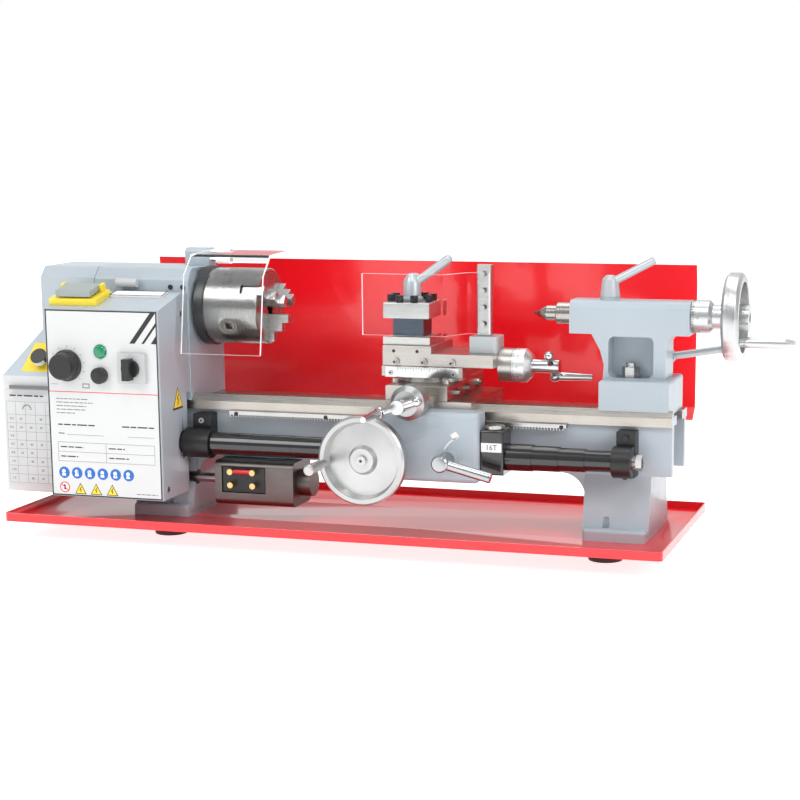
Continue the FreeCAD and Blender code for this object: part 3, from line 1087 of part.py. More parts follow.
def make_carriage_wheel():
    axis = ("wheel_x", "screw_z")
    front, back = "-wheel_back - wheel_thick", "-wheel_back"
    wheel = turned("carriage_wheel_turn", "y", [
        (f"{front} + 3", "wheel_shaft"), (f"{front} + 3", "12"), (f"{front} + 8", "15"),
        (f"{back} - wheel_web - 1", "wheel_radius - wheel_rim - 3"), (front, "wheel_radius - wheel_rim"),
        (front, "wheel_radius - 2"), (f"{front} + 2", "wheel_radius"), (f"{back} - 3", "wheel_radius"),
        (f"{back} - 1", "wheel_radius - 2"), (f"{back} - 1", "wheel_radius - wheel_rim"),
        (back, "13"), (f"{back} + 9", "12"), (f"{back} + 9", "wheel_shaft")], axis)
    keep("carriage_handwheel", wheel)
    turn = math.radians(size("grip_turn"))
    foot = (f"wheel_x + wheel_grip * {math.cos(turn):.6f}", front,
            f"screw_z + wheel_grip * {math.sin(turn):.6f}")
    keep("carriage_handwheel", handle("carriage_grip", foot, "grip_long", "grip_radius"))
    gear_y = ("-apron_front + apron_wall + 1", "-apron_front + apron_wall + 1 + train_wide")
    shaft = rod("wheel_shaft_rod", "y", "wheel_shaft", (f"{front} + 2", "-apron_front + apron_wall + 1.2"),
                axis)
    pinion = gear("hand_gear", "y", "hand_pinion", "hand_teeth", gear_y, axis, "0.5")
    keep("carriage_handwheel", fuse("wheel_shaft_solid", shaft, pinion))
    drop = size("bed_top - way_deep - rack_tall + tooth_tall / 2 - rack_gap")
    centre_z = f"{drop - size('rack_pinion')}"
    reach = size("hand_pinion + reduction + rack_gap")
    shift = math.sqrt(reach ** 2 - (float(centre_z) - size("screw_z")) ** 2)
    centre = (f"wheel_x + {shift:.6f}", centre_z)
    mesh = reduction_phase(shift, float(centre_z) - size("screw_z"))
    big = gear("reduction", "y", "reduction", "reduction_teeth", gear_y, centre, "1", mesh)
    spindle = rod("train_shaft", "y", "4", ("-apron_front + apron_wall + 0.5", "-rack_front + 6"), centre)
    small = gear("rack_wheel", "y", "rack_pinion", "rack_teeth", ("-rack_front + 0.5", "-rack_front + 6.5"),
                 centre, "1", rack_phase(size("wheel_x") + shift))
    keep("rack_pinion", fuse("rack_train", big, spindle, small))


def make_half_nuts():
    hub = turned("lever_hub_turn", "y", [
        ("-lever_hub_out", "0"), ("-lever_hub_out", "lever_hub - 1.5"), ("1.5 - lever_hub_out", "lever_hub"),
        ("-apron_front - 5.3", "lever_hub"), ("-apron_front - 5.3", "5"), ("-apron_front + apron_wall + 4",
                                                                           "5"),
        ("-apron_front + apron_wall + 4", "0")], ("lever_x", "lever_z"))
    drop = math.radians(size("lever_drop"))
    direction = Vector(math.cos(drop), 0, -math.sin(drop))
    arm = leaning_rod("lever_arm", "lever_rod", "lever_reach", ("lever_x", "-lever_hub_out + 8", "lever_z"),
                      direction)
    keep("half_nut_lever", fuse("lever", hub, arm))
    y = ("-screw_y - 9", "-saddle_half + 6")
    for name, low, high in (
            ("upper_half_nut", "screw_z + 0.3 + half_nut_open",
             "screw_z + 0.3 + half_nut_open + half_nut_tall"),
            ("lower_half_nut", "screw_z - 0.3 - half_nut_open - half_nut_tall",
             "screw_z - 0.3 - half_nut_open")):
        middle = "screw_z + half_nut_open" if name.startswith("upper") else "screw_z - half_nut_open"
        block = box(name + "_block", ("half_nut_left", "half_nut_right"), y, (low, high))
        bore = rod(name + "_bore", "x", "screw_radius + slide_gap", ("half_nut_left - 1",
                                                                     "half_nut_right + 1"),
                   ("-screw_y", middle))
        keep(name, cut(name + "_body", block, bore))


def make_thread_dial():
    block = box("thread_block", ("apron_right", "thread_box_right"), ("-thread_box_out", "-screw_y + 12"),
                ("thread_box_low - 8", "thread_box_high"))
    block = rounded("thread_round", block, "2.5",
                    lambda edge: edge.CenterOfMass.y < -size("thread_box_out") + 1)
    bore = rod("thread_bore", "x", "screw_radius + 1.5", ("apron_right - 1", "thread_box_right + 1"), SCREW)
    well = rod("thread_well", "z", "4 + shaft_gap", ("thread_box_high - 12", "thread_box_high + 1"),
               ("(apron_right + thread_box_right) / 2", "-screw_y - 4"))
    keep("thread_dial_housing", cut("thread_body", block, bore, well))
    keep("thread_dial", turned("thread_dial_turn", "z", [
        ("thread_box_high - 11", "0"), ("thread_box_high - 11", "4"), ("thread_box_high + slide_gap", "4"),
        ("thread_box_high + slide_gap", "thread_dial"), ("thread_box_high + thread_dial_tall - 1",
                                                         "thread_dial"),
        ("thread_box_high + thread_dial_tall", "thread_dial - 1"), ("thread_box_high + thread_dial_tall",
                                                                    "0")],
        ("(apron_right + thread_box_right) / 2", "-screw_y - 4")))


# ---------------------------------------------------------------- cross slide and its crank
def crank(name, axis, hub_ends, across, turn, throw, grip_ends):
    """A balanced crank: hub, bar with a ball at each end, and a grip on one ball."""
    first, second = [index for index in range(3) if "xyz"[index] != axis]
    angle = math.radians(turn)
    arm_at = f"({hub_ends[2]})"
    centre = spot(axis, arm_at, across)
    direction = [0, 0, 0]
    direction[first], direction[second] = math.cos(angle), math.sin(angle)
    ends = []
    for sign in (1, -1):
        point = list(centre)
        for index in (first, second):
            point[index] = f"({centre[index]}) + ({throw}) * {sign * direction[index]:.6f}"
        ends.append(point)
    hub = rod(name + "_hub", axis, "crank_hub", hub_ends[:2], across)
    bar = leaning_rod(name + "_bar", "crank_arm", f"2 * ({throw})", ends[1], Vector(*direction))
    balls = [ball(f"{name}_ball{number}", "crank_ball" if number == 0 else "crank_ball - 1", end)
             for number, end in enumerate(ends)]
    grip_across = [ends[0][index] for index in (first, second)]
    grip = turned(name + "_grip", axis, [
        (grip_ends[0], "0"), (grip_ends[0],
                              "crank_grip - 1.5"), (f"({grip_ends[0]}) * 0.7 + ({grip_ends[1]}) * 0.3",
                                                    "crank_grip - 1"),
        (f"({grip_ends[0]}) * 0.15 + ({grip_ends[1]}) * 0.85", "crank_grip"), (grip_ends[1],
                                                                               "crank_grip - 1.5"),
        (grip_ends[1], "0")], grip_across)
    return fuse(name, hub, bar, *balls, grip)


def make_cross_slide():
    block = box("cross_block", ("cross_left", "cross_right"), ("-cross_front", "cross_rear"),
                ("saddle_top + slide_gap", "cross_top"))
    block = rounded("cross_round", block, "1.5", lambda edge: runs_along(edge, Vector(0, 1, 0))
                    and edge.CenterOfMass.z > size("cross_top") - 1)
    groove = dovetail_y("cross_dovetail", "slide_gap", "-cross_front - 1", "cross_rear + 1")
    channel = box("cross_channel", ("cross_screw_x - cross_groove", "cross_screw_x + cross_groove"),
                  ("-cross_front - 1", "cross_rear + 1"), ("saddle_top", "cross_screw_z + cross_groove"))
    keep("cross_slide", cut("cross_body", block, groove, channel))
    nut_block = box("cross_nut_block", ("cross_screw_x - cross_groove + slide_gap",
                                        "cross_screw_x + cross_groove - slide_gap"),
                    ("10", "28"), ("saddle_top - 0.5", "cross_screw_z + cross_groove"))
    nut_bore = rod("cross_nut_bore", "y", "cross_screw + slide_gap", ("9", "29"), CROSS)
    keep("cross_slide", cut("cross_nut_body", nut_block, nut_bore))
    gibs = []
    for number in range(3):
        y = f"-30 + {number} * 38"
        gibs.append(fuse(f"cross_gib{number}",
                         rod(f"cross_gib_screw{number}", "x", "gib_screw", ("cross_right",
                                                                            "cross_right + gib_out"),
                             (y, "saddle_top + 6")),
                         hexagon(f"cross_gib_nut{number}", "gib_nut", "3", "x", "cross_right", (y,
                                                                                                "saddle_top + 6"))))
    keep("cross_slide", group("cross_gib_set", gibs))
    bracket_block = rod("cross_bracket_rod", "y", "cross_bracket", ("-cross_bracket_out", "-saddle_half"),
                        CROSS)
    low_block = box("cross_bracket_foot", ("cross_screw_x - cross_bracket", "cross_screw_x + cross_bracket"),
                    ("-saddle_half - 10", "-saddle_half"), ("apron_high + slide_gap", "cross_screw_z"))
    trim = box("cross_bracket_trim", ("cross_left", "cross_right"), ("-cross_front - slide_gap", "0"),
               ("saddle_top", "cross_top + 6"))
    bore = rod("cross_bracket_bore", "y", "cross_screw + shaft_gap", ("-cross_bracket_out - 1",
                                                                      "-saddle_half + 1"),
               CROSS)
    keep("saddle", cut("cross_bracket_body", fuse("cross_bracket_solid", bracket_block, low_block),
                                    trim, bore))
    dial = turned("cross_dial_turn", "y", [
        ("-cross_bracket_out - cross_dial_long", "cross_screw"), ("-cross_bracket_out - cross_dial_long",
                                                                  "cross_dial - 5"),
        ("-cross_bracket_out - cross_dial_long + 6", "cross_dial"), ("-cross_bracket_out - slide_gap",
                                                                     "cross_dial"),
        ("-cross_bracket_out - slide_gap", "cross_screw")], CROSS)
    keep("cross_crank", dial)
    keep("cross_crank", rod("cross_screw_rod", "y", "cross_screw",
                            ("-cross_bracket_out - cross_dial_long - 2", "saddle_half"), CROSS))
    front = "-cross_bracket_out - cross_dial_long"
    keep("cross_crank", crank("cross_crank_form", "y", (f"{front} - cross_hub_long + 3", f"{front}",
                                                        f"{front} - cross_hub_long + 8"),
                              CROSS, size("cross_turn"), "crank_throw",
                              (f"{front} - cross_hub_long + 4 - crank_grip_long",
                               f"{front} - cross_hub_long + 4")))


CROSS = ("cross_screw_x", "cross_screw_z")


# ---------------------------------------------------------------- compound slide
def rail_x(name, grow, left, right):
    """The top slide's dovetail along X, standing on the compound base."""
    foot, flare = f"rail_foot + {grow}", f"rail_foot + dovetail_flare + {grow}"
    top = f"base_top + rail_tall + {grow}"
    return prism(name, "x", [
        (f"-({foot})", "base_top - 1"), (f"-({foot})", "base_top"), (f"-({flare})", top), (flare, top),
        (foot, "base_top"), (foot, "base_top - 1")], (left, right))


def make_compound():
    top_screw = ("-top_screw_y", "top_screw_z")
    disc = rod("swivel_disc_rod", "z", "swivel_disc", ("cross_top + slide_gap", "swivel_top"), ("swivel_x",
                                                                                                "0"))
    block = box("compound_block", ("base_left", "base_right"), ("-base_half", "base_half"),
                ("swivel_top - 0.5", "base_top"))
    block = rounded("compound_round", block, "1.2",
                    lambda edge: edge.CenterOfMass.z > size("base_top") - 0.5)
    channel = box("compound_channel", ("base_left - 1", "base_right + 1"),
                  ("-top_screw_y - compound_groove", "compound_groove - top_screw_y"),
                  ("top_screw_z - compound_groove", "base_top + rail_tall + 1"))
    keep("compound_base", cut("compound_body", fuse("compound_solid", disc, block,
                                                    rail_x("compound_rail", "0", "base_left",
                                                           "base_right")), channel))
    screws = [rod(f"swivel_screw{number}", "z", "3.5", ("cross_top + slide_gap", "cross_top + 5"),
                  (x, "-swivel_disc - 5")) for number, x in enumerate(("swivel_x - 27", "swivel_x + 27"))]
    keep("cross_slide", group("swivel_screw_set", screws))
    nut = cut("compound_nut_body",
              box("compound_nut_block", ("base_right - 16", "base_right - 2"),
                  ("-top_screw_y - compound_groove", "compound_groove - top_screw_y"),
                  ("top_screw_z - compound_groove", "base_top + rail_tall")),
              rod("compound_nut_bore", "x", "compound_screw + slide_gap", ("base_right - 17", "base_right"),
                  top_screw))
    keep("compound_base", nut)

    low = box("top_low", ("top_left", "top_right"), ("-base_half", "base_half"), ("base_top + slide_gap",
                                                                                  "top_low"))
    high = box("top_high", ("top_left", "top_step"), ("-base_half", "base_half"), ("top_low - 1",
                                                                                   "top_high"))
    solid = fuse("top_solid", low, high)
    solid = rounded("top_round", solid, "1.5", lambda edge: edge.CenterOfMass.z > size("top_high") - 0.5)
    groove = rail_x("top_dovetail", "slide_gap", "top_left - 1", "top_right - 12")
    trough = box("top_trough", ("top_left - 1", "top_right - 12"),
                 ("-top_screw_y - compound_groove", "compound_groove - top_screw_y"), ("base_top",
                                                                                       "base_top + rail_tall + 0.8"))
    bore = rod("top_bore", "x", "compound_screw + shaft_gap", ("top_right - 13", "top_right + 1"), top_screw)
    keep("top_slide", cut("top_body", solid, groove, trough, bore))
    gibs = []
    for number in range(3):
        x = f"14 + {number} * 30"
        gibs.append(fuse(f"top_gib{number}",
                         rod(f"top_gib_screw{number}", "y", "gib_screw", ("-base_half - gib_out",
                                                                          "-base_half"), (x,
                                                                                          "base_top + 4.6")),
                         rod(f"top_gib_nut{number}", "y", "gib_nut", ("-base_half - 2.5", "-base_half"), (x,
                                                                                                          "base_top + 4.6"))))
    keep("top_slide", group("top_gib_set", gibs))
    keep("compound_crank", rod("compound_screw_rod", "x", "compound_screw", ("base_left + 24",
                                                                             "compound_dial_right"), top_screw))
    collar = hollow("compound_collar_ring", "x", "compound_dial", "compound_screw + shaft_gap",
                    ("top_right", "top_right + 14"), top_screw)
    keep("top_slide", collar)
    keep("compound_crank", turned("compound_dial_turn", "x", [
        ("top_right + 14 + slide_gap", "compound_screw"), ("top_right + 14 + slide_gap", "compound_dial"),
        ("compound_dial_right - 6", "compound_dial"), ("compound_dial_right", "compound_dial - 6"),
        ("compound_dial_right", "compound_screw")], top_screw))
    keep("compound_crank", crank("compound_crank_form", "x", ("compound_dial_right",
                                                              "compound_hub_right - 3", "compound_hub_right - 11"),
                                 top_screw, size("compound_turn"), "compound_throw",
                                 ("compound_grip_right", "compound_hub_right - 10")))


# ---------------------------------------------------------------- toolpost and its guard
POST = ("post_x", "-post_y")


def square_block(name, half, low, high):
    return box(name, (f"post_x - {half}", f"post_x + {half}"), (f"-post_y - {half}", f"{half} - post_y"),
               (low, high))


def make_toolpost():
    top = rounded("post_top_round", square_block("post_top", "post_half", "post_neck_high", "post_high"),
                  "1.5",
                  lambda edge: edge.CenterOfMass.z > size("post_high") - 0.5 or runs_along(edge, Vector(0,
                                                                                                        0, 1)))
    body = fuse("post_solid", square_block("post_foot", "post_half", "top_high + slide_gap",
                                           "post_foot_high"),
                square_block("post_middle", "post_neck", "post_foot_high - 1", "post_neck_high + 1"), top)
    bolts, threads = [], []
    number = 0
    for sign in (1, -1):
        for along in ("post_bolt_side", "-post_bolt_side"):
            for across in ((f"post_x + {sign} * post_bolt_in", f"{along} - post_y"),
                           (f"post_x + {along}", f"{sign} * post_bolt_in - post_y")):
                shank = rod(f"post_shank{number}", "z", "post_bolt", ("post_neck_high - 8",
                                                                      "post_high + 1"), across)
                half = "post_bolt_head * 0.8"
                head = box(f"post_head{number}", (f"{across[0]} - {half}", f"{across[0]} + {half}"),
                           (f"{across[1]} - {half}", f"{across[1]} + {half}"), ("post_high + 0.5",
                                                                                "post_bolt_top"))
                bolts.append(fuse(f"post_bolt_solid{number}", shank, head))
                threads.append(rod(f"post_thread{number}", "z", "post_bolt + seat_gap",
                                   ("post_neck_high - 9", "post_high + 2"), across))
                number += 1
    stud_way = rod("post_stud_way", "z", "post_stud + shaft_gap", ("top_high", "post_high + 1"), POST)
    keep("toolpost", cut("toolpost_body", body, stud_way, *threads))
    keep("toolpost_bolts", group("post_bolt_set", bolts))
    keep("top_slide", rod("post_stud_rod", "z", "post_stud", ("top_high", "post_stud_high"), POST))
    hub = turned("post_hub", "z", [
        ("hub_low", "post_stud + shaft_gap"), ("hub_low", "hub_radius + 2"), ("hub_low + 3",
                                                                              "hub_radius + 2"),
        ("hub_low + 4", "hub_radius"), ("hub_high - 8", "hub_radius"), ("hub_high", "hub_radius - 5"),
        ("hub_high", "0"), ("post_stud_high + 1", "0"), ("post_stud_high + 1",
                                                         "post_stud + shaft_gap")], POST)
    rise = math.radians(size("post_lever_rise"))
    direction = Vector(math.cos(rise), 0, math.sin(rise))
    arm = leaning_rod("post_arm", "post_lever", "post_lever_reach", ("post_x + 3", "-post_y",
                                                                     "hub_high - 10"), direction)
    tip_x = f"post_x + 3 + post_lever_reach * {math.cos(rise):.6f}"
    tip_z = f"hub_high - 10 + post_lever_reach * {math.sin(rise):.6f}"
    keep("toolpost_lever", fuse("post_lever_solid", hub, arm, ball("post_tip", "post_lever", (tip_x,
                                                                                              "-post_y", tip_z))))


def make_toolpost_guard():
    block = box("mount_block", ("mount_left", "mount_right"), ("-mount_front", "mount_back"), ("top_low",
                                                                                               "mount_high"))
    block = rounded("mount_round", block, "6", lambda edge: runs_along(edge, Vector(0, 0,
                                                                                    1)) and edge.CenterOfMass.x > 100)
    pin = rod("mount_pin", "z", "pivot_pin", ("mount_high - 1", "mount_high + 30"), ("pillar_x",
                                                                                     "-pillar_y"))
    keep("guard_post_block", fuse("mount_solid", block, pin))
    pillar = box("pillar_bar", ("pillar_x - pillar_half", "pillar_x + pillar_half"),
                 ("-pillar_y - pillar_deep - 1.5",
                  "pillar_deep - pillar_y + 1.5"), ("mount_high + slide_gap", "pillar_high"))
    pin_way = rod("pillar_way", "z", "pivot_pin + shaft_gap", ("mount_high", "mount_high + 31"),
                  ("pillar_x", "-pillar_y"))
    pillar = rounded("pillar_round", pillar, "2", lambda edge: runs_along(edge, Vector(0, 0, 1)))
    keep("toolpost_guard", cut("pillar_body", pillar, pin_way))
    rest = "-pillar_y - pillar_deep - 1.5 - slide_gap"
    front = [("shield_left", "-shield_y"), ("shield_right", "-shield_y"),
             ("pillar_x - pillar_half - 8", f"{rest} - shield_sheet"),
             ("pillar_x + pillar_half - 1", f"{rest} - shield_sheet")]
    back = [("pillar_x + pillar_half - 1", rest), ("pillar_x - pillar_half - 9.5", rest),
            ("shield_right - 1.5", "shield_sheet - shield_y"), ("shield_left", "shield_sheet - shield_y")]
    keep("toolpost_guard", prism("shield", "z", front + back, ("shield_low + 8", "shield_high")))
    screws = []
    for number in range(4):
        screws.append(rod(f"shield_screw{number}", "y", "2.6",
                          (f"{rest} - shield_sheet - 2", f"{rest} - shield_sheet - 0.1"),
                          ("pillar_x", f"shield_low + 18 + {number} * 17")))
    keep("toolpost_guard", group("shield_screws", screws))


# ---------------------------------------------------------------- tailstock
def make_tailstock():
    barrel = box("barrel_block", ("barrel_left", "barrel_right"), ("-barrel_half", "barrel_half"),
                 ("barrel_low", "barrel_high"))
    barrel = rounded("barrel_rounded", barrel, "barrel_round",
                     lambda edge: runs_along(edge, Vector(1, 0, 0)) and edge.CenterOfMass.z > 230)
    base = box("tail_base", ("tail_left", "tail_right"), ("-tail_half", "tail_half"),
               (f"{VEE_FOOT} + slide_gap", "tail_base_high"))
    base = rounded("tail_base_round", base, "3",
                   lambda edge: edge.CenterOfMass.z > size("tail_base_high") - 1)
    web = prism("tail_web", "y", [
        ("tail_left", "tail_base_high - 5"), ("tail_left + 1", "tail_base_high + 14"),
        ("tail_left - 3", "barrel_low - 16"), ("tail_left - web_lean", "barrel_low + 4"),
        ("tail_web_right + 8", "barrel_low + 4"), ("tail_web_right", "barrel_low - 8"),
        ("tail_web_right", "tail_base_high - 5")], ("-barrel_half", "barrel_half"))
    boss = rod("lock_boss", "z", "lock_radius + 1", ("barrel_high - 4", "lock_low - slide_gap"), ("lock_x",
                                                                                                  "0"))
    casting = fuse("tail_casting", barrel, base, web, boss)
    window = box("tail_window", ("window_left", "window_right"), ("-barrel_half - 1",
                                                                  "window_deep - barrel_half"),
                 ("window_low", "window_high"))
    window = rounded("tail_window_round", window, "window_round", lambda edge: runs_along(edge, Vector(0, 1,
                                                                                                       0)))
    bore = rod("barrel_bore", "x", "quill_radius + shaft_gap", ("barrel_left - 1",
                                                                "barrel_right - barrel_end"), SPINDLE)
    end_bore = rod("end_bore", "x", "quill_screw + shaft_gap", ("barrel_right - barrel_end - 1",
                                                                "barrel_right + 1"), SPINDLE)
    ways = prism("tail_ways", "x", [
        ("-bed_half - 1", "bed_low"), ("-bed_half - 1", f"{VEE_FOOT} + slide_gap"),
        ("-bed_half", f"{VEE_FOOT} + slide_gap"), ("vee_half - bed_half", "bed_top + slide_gap"),
        ("2 * vee_half - bed_half + slide_gap", f"{VEE_FOOT} + slide_gap"),
        ("bed_half", f"{VEE_FOOT} + slide_gap"), ("bed_half", "bed_low")], ("tail_left - 1",
                                                                            "tail_right + 1"))
    stud_way = rod("tail_stud_way", "z", "tail_stud + slide_gap", ("bed_low", "window_low + 1"),
                   ("tail_stud_x", "-8"))
    clamp_way = rod("clamp_way", "y", "clamp_rod + shaft_gap", ("barrel_half - 14", "barrel_half + 1"),
                    ("clamp_x", "clamp_z"))
    lock_way = rod("lock_way", "z", "4 + shaft_gap", ("barrel_high - 6", "lock_low + 1"), ("lock_x", "0"))
    keep("tailstock_body", cut("tail_body", casting, window, bore, end_bore, ways, stud_way, clamp_way,
                               lock_way))
    make_quill()
    make_tail_wheel()
    make_tail_clamps()


def make_quill():
    shell = turned("quill_turn", "x", [
        ("quill_left + 1", "taper_large + seat_gap"), ("quill_left",
                                                       "taper_large + seat_gap"), ("quill_left",
                                                                                   "quill_radius - 1"),
        ("quill_left + 1", "quill_radius"), ("quill_right", "quill_radius"), ("quill_right",
                                                                              "quill_screw + slide_gap"),
        ("quill_bore_left", "quill_screw + slide_gap"), ("quill_bore_left", "taper_small + seat_gap"),
        ("quill_left + taper_long", "taper_small + seat_gap")], SPINDLE)
    keep("tailstock_quill", shell)
    keep("dead_centre", turned("centre_turn", "x", [
        ("centre_tip", "0"), ("centre_cone", "centre_radius"), ("quill_left - slide_gap", "centre_radius"),
        ("quill_left - slide_gap", "taper_large"), ("quill_left + 1", "taper_large"),
        ("quill_left + taper_long", "taper_small"), ("quill_left + taper_long", "0")], SPINDLE))


def make_tail_wheel():
    keep("tailstock_handwheel", rod("quill_screw_rod", "x", "quill_screw", ("quill_screw_left",
                                                                            "tail_hub_right - 4"), SPINDLE))
    keep("tailstock_handwheel", turned("tail_dial_turn", "x", [
        ("barrel_right + slide_gap", "quill_screw"), ("barrel_right + slide_gap", "tail_dial"),
        ("tail_dial_right - 3", "tail_dial"), ("tail_dial_right", "tail_collar + 1"), ("tail_dial_right",
                                                                                       "tail_collar"),
        ("tail_collar_right", "tail_collar"), ("tail_collar_right", "quill_screw")], SPINDLE))
    rim = turned("tail_rim", "x", [
        ("tail_wheel_left", "tail_wheel - 9"), ("tail_wheel_left",
                                                "tail_wheel - 3"), ("tail_wheel_left + 3", "tail_wheel"),
        ("tail_wheel_right - 3", "tail_wheel"), ("tail_wheel_right", "tail_wheel - 3"),
        ("tail_wheel_right", "tail_wheel - 9")], SPINDLE)
    hub = hollow("tail_hub_ring", "x", "tail_hub", "quill_screw", ("tail_collar_right", "tail_hub_right"),
                 SPINDLE)
    spokes = []
    for number in range(3):
        spoke = box(f"tail_spoke{number}_block", ("tail_wheel_left + 4", "tail_wheel_right - 5"), ("8",
                                                                                                   "tail_wheel - 6"),
                    ("-tail_spoke / 2", "tail_spoke / 2"))
        spokes.append(about_spindle(f"tail_spoke{number}", spoke,
                                    -size("tail_grip_turn") + 180 + 120 * number))
    pad = rod("grip_pad", "y", "tail_grip_thick + 1", ("tail_grip - 7", "tail_grip + 3"),
              ("(tail_wheel_left + tail_wheel_right) / 2", "0"))
    pad_turned = about_spindle("grip_pad_turned", pad, -size("tail_grip_turn") + 180)
    bore = rod("tail_wheel_bore", "x", "quill_screw", ("tail_collar_right - 1", "tail_hub_right + 1"),
               SPINDLE)
    keep("tailstock_handwheel", cut("tail_wheel_body", fuse("tail_wheel_solid", rim, hub, pad_turned,
                                                            *spokes), bore))
    turn = math.radians(size("tail_grip_turn"))
    foot = (f"tail_grip * {math.cos(turn):.6f}", f"spindle_high + tail_grip * {math.sin(turn):.6f}")
    keep("tailstock_handwheel", turned("tail_grip_turned", "x", [
        ("tail_wheel_right", "0"), ("tail_wheel_right", "tail_grip_thick - 2.5"), ("tail_wheel_right + 4",
                                                                                   "tail_grip_thick - 2"),
        ("tail_wheel_right + 7", "tail_grip_thick - 0.5"), ("tail_grip_right - 10", "tail_grip_thick"),
        ("tail_grip_right", "tail_grip_thick - 3"), ("tail_grip_right", "0")], foot))


def make_tail_clamps():
    rise = math.radians(size("lock_rise"))
    hub = turned("lock_hub", "z", [
        ("spindle_high + quill_radius + slide_gap", "0"),
        ("spindle_high + quill_radius + slide_gap", "4"), ("lock_low", "4"), ("lock_low", "lock_radius + 1"),
        ("lock_high - 4", "lock_radius - 1"), ("lock_high", "lock_radius - 5"), ("lock_high",
                                                                                 "0")], ("lock_x", "0"))
    arm = leaning_rod("lock_arm", "lock_lever", "lock_reach", ("lock_x + 2", "0", "lock_high - 7"),
                      Vector(math.cos(rise), 0, math.sin(rise)))
    keep("quill_lock_lever", fuse("lock_solid", hub, arm))
    lean = math.radians(size("clamp_rise"))
    shaft = rod("clamp_shaft", "y", "clamp_rod", ("barrel_half - 13", "clamp_y"), ("clamp_x", "clamp_z"))
    collar = rod("clamp_collar", "y", "clamp_hub", ("barrel_half + slide_gap", "clamp_y"), ("clamp_x",
                                                                                            "clamp_z"))
    arm = leaning_rod("clamp_arm", "clamp_rod", "clamp_reach", ("clamp_x", "clamp_y - clamp_hub / 2 - 1",
                                                                "clamp_z"),
                      Vector(math.cos(lean), 0, math.sin(lean)))
    tip_x = f"clamp_x + clamp_reach * {math.cos(lean):.6f}"
    tip_z = f"clamp_z + clamp_reach * {math.sin(lean):.6f}"
    knob = ball("clamp_tip", "clamp_rod", (tip_x, "clamp_y - clamp_hub / 2 - 1", tip_z))
    keep("tailstock_clamp_lever", fuse("clamp_solid", shaft, collar, arm, knob))
    plate_top = "bed_top - way_deep - slide_gap"
    plate = box("clamp_plate_block", ("tail_left + 2", "tail_right - 20"), ("-tail_plate_half",
                                                                            "tail_plate_half"),
                (f"{plate_top} - tail_plate_thick", plate_top))
    stud = rod("clamp_stud", "z", "tail_stud", (f"{plate_top} - tail_plate_thick",
                                                "window_low + tail_nut_tall + 4"), ("tail_stud_x", "-8"))
    nut = hexagon("clamp_nut", "tail_nut", "tail_nut_tall", "z", "window_low", ("tail_stud_x", "-8"))
    keep("tailstock_body", fuse("clamp_plate_solid", plate, stud, nut))


# ---------------------------------------------------------------- build and export
for make in (make_stand, make_bed, make_headstock, make_gear_cover, make_control_box, make_spindle,
             make_chuck_guard, make_drive, make_leadscrew, make_saddle, make_apron, make_cross_slide,
             make_compound, make_toolpost, make_toolpost_guard, make_tailstock):
    make()
SUB_PARTS = []
for label, pieces in NODES.items():
    node = pieces[0] if len(pieces) == 1 else group(label + "_set", pieces)
    node.Label = label
    SUB_PARTS.append(node)
doc.recompute()

faults = [f"{thing.Name}: {thing.State}" for thing in doc.Objects
          if "Invalid" in thing.State or "Error" in thing.State]
for node in SUB_PARTS:
    if node.Shape.isNull() or not node.Shape.isValid() or node.Shape.Volume <= 0:
        faults.append(f"{node.Label}: no valid shape")
if faults:
    raise SystemExit("The model did not build:\n" + "\n".join(faults))

os.makedirs("parts", exist_ok=True)
for node in SUB_PARTS:
    node.Shape.exportStep(f"parts/{node.Label}.step")
print(f"{len(SUB_PARTS)} nodes written")
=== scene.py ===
import json
import math
import random

import bmesh
import bpy
from mathutils import Matrix, Vector


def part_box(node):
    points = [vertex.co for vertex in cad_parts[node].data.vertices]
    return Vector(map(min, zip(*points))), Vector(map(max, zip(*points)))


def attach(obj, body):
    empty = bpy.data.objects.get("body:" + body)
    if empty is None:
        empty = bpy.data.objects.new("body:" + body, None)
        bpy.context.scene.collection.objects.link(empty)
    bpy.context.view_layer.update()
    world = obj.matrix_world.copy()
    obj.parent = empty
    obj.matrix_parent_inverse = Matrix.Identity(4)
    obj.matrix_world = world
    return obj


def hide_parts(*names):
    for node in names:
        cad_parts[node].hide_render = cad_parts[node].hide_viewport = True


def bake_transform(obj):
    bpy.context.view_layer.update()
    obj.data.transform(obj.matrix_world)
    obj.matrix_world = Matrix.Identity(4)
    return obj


# The looks of a bench metal lathe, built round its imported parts. Metres; +Z up.

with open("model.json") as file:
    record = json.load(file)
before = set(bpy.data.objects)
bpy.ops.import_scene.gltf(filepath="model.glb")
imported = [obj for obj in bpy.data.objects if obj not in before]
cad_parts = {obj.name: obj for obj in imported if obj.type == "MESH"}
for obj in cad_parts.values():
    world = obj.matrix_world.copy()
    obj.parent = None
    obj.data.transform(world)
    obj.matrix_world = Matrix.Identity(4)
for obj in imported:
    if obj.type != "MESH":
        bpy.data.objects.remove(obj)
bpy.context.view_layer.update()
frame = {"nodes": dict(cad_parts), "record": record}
SPINDLE_Z = 0.240
SPINDLE_AT = (0, 0, SPINDLE_Z)


# ---------------------------------------------------------------- finishes
def finish(name, colour, rough, metal=0.0, coat=0.0, **sockets):
    """A surface finish, every plain value on the shader's own socket."""
    made = bpy.data.materials.new(name)
    made.use_nodes = True
    shader = made.node_tree.nodes["Principled BSDF"].inputs
    shader["Base Color"].default_value = (*colour, 1)
    shader["Roughness"].default_value = rough
    shader["Metallic"].default_value = metal
    shader["Coat Weight"].default_value = coat
    shader["Coat Roughness"].default_value = 0.08
    for socket, number in sockets.items():
        shader[socket.replace("_", " ")].default_value = number
    return made


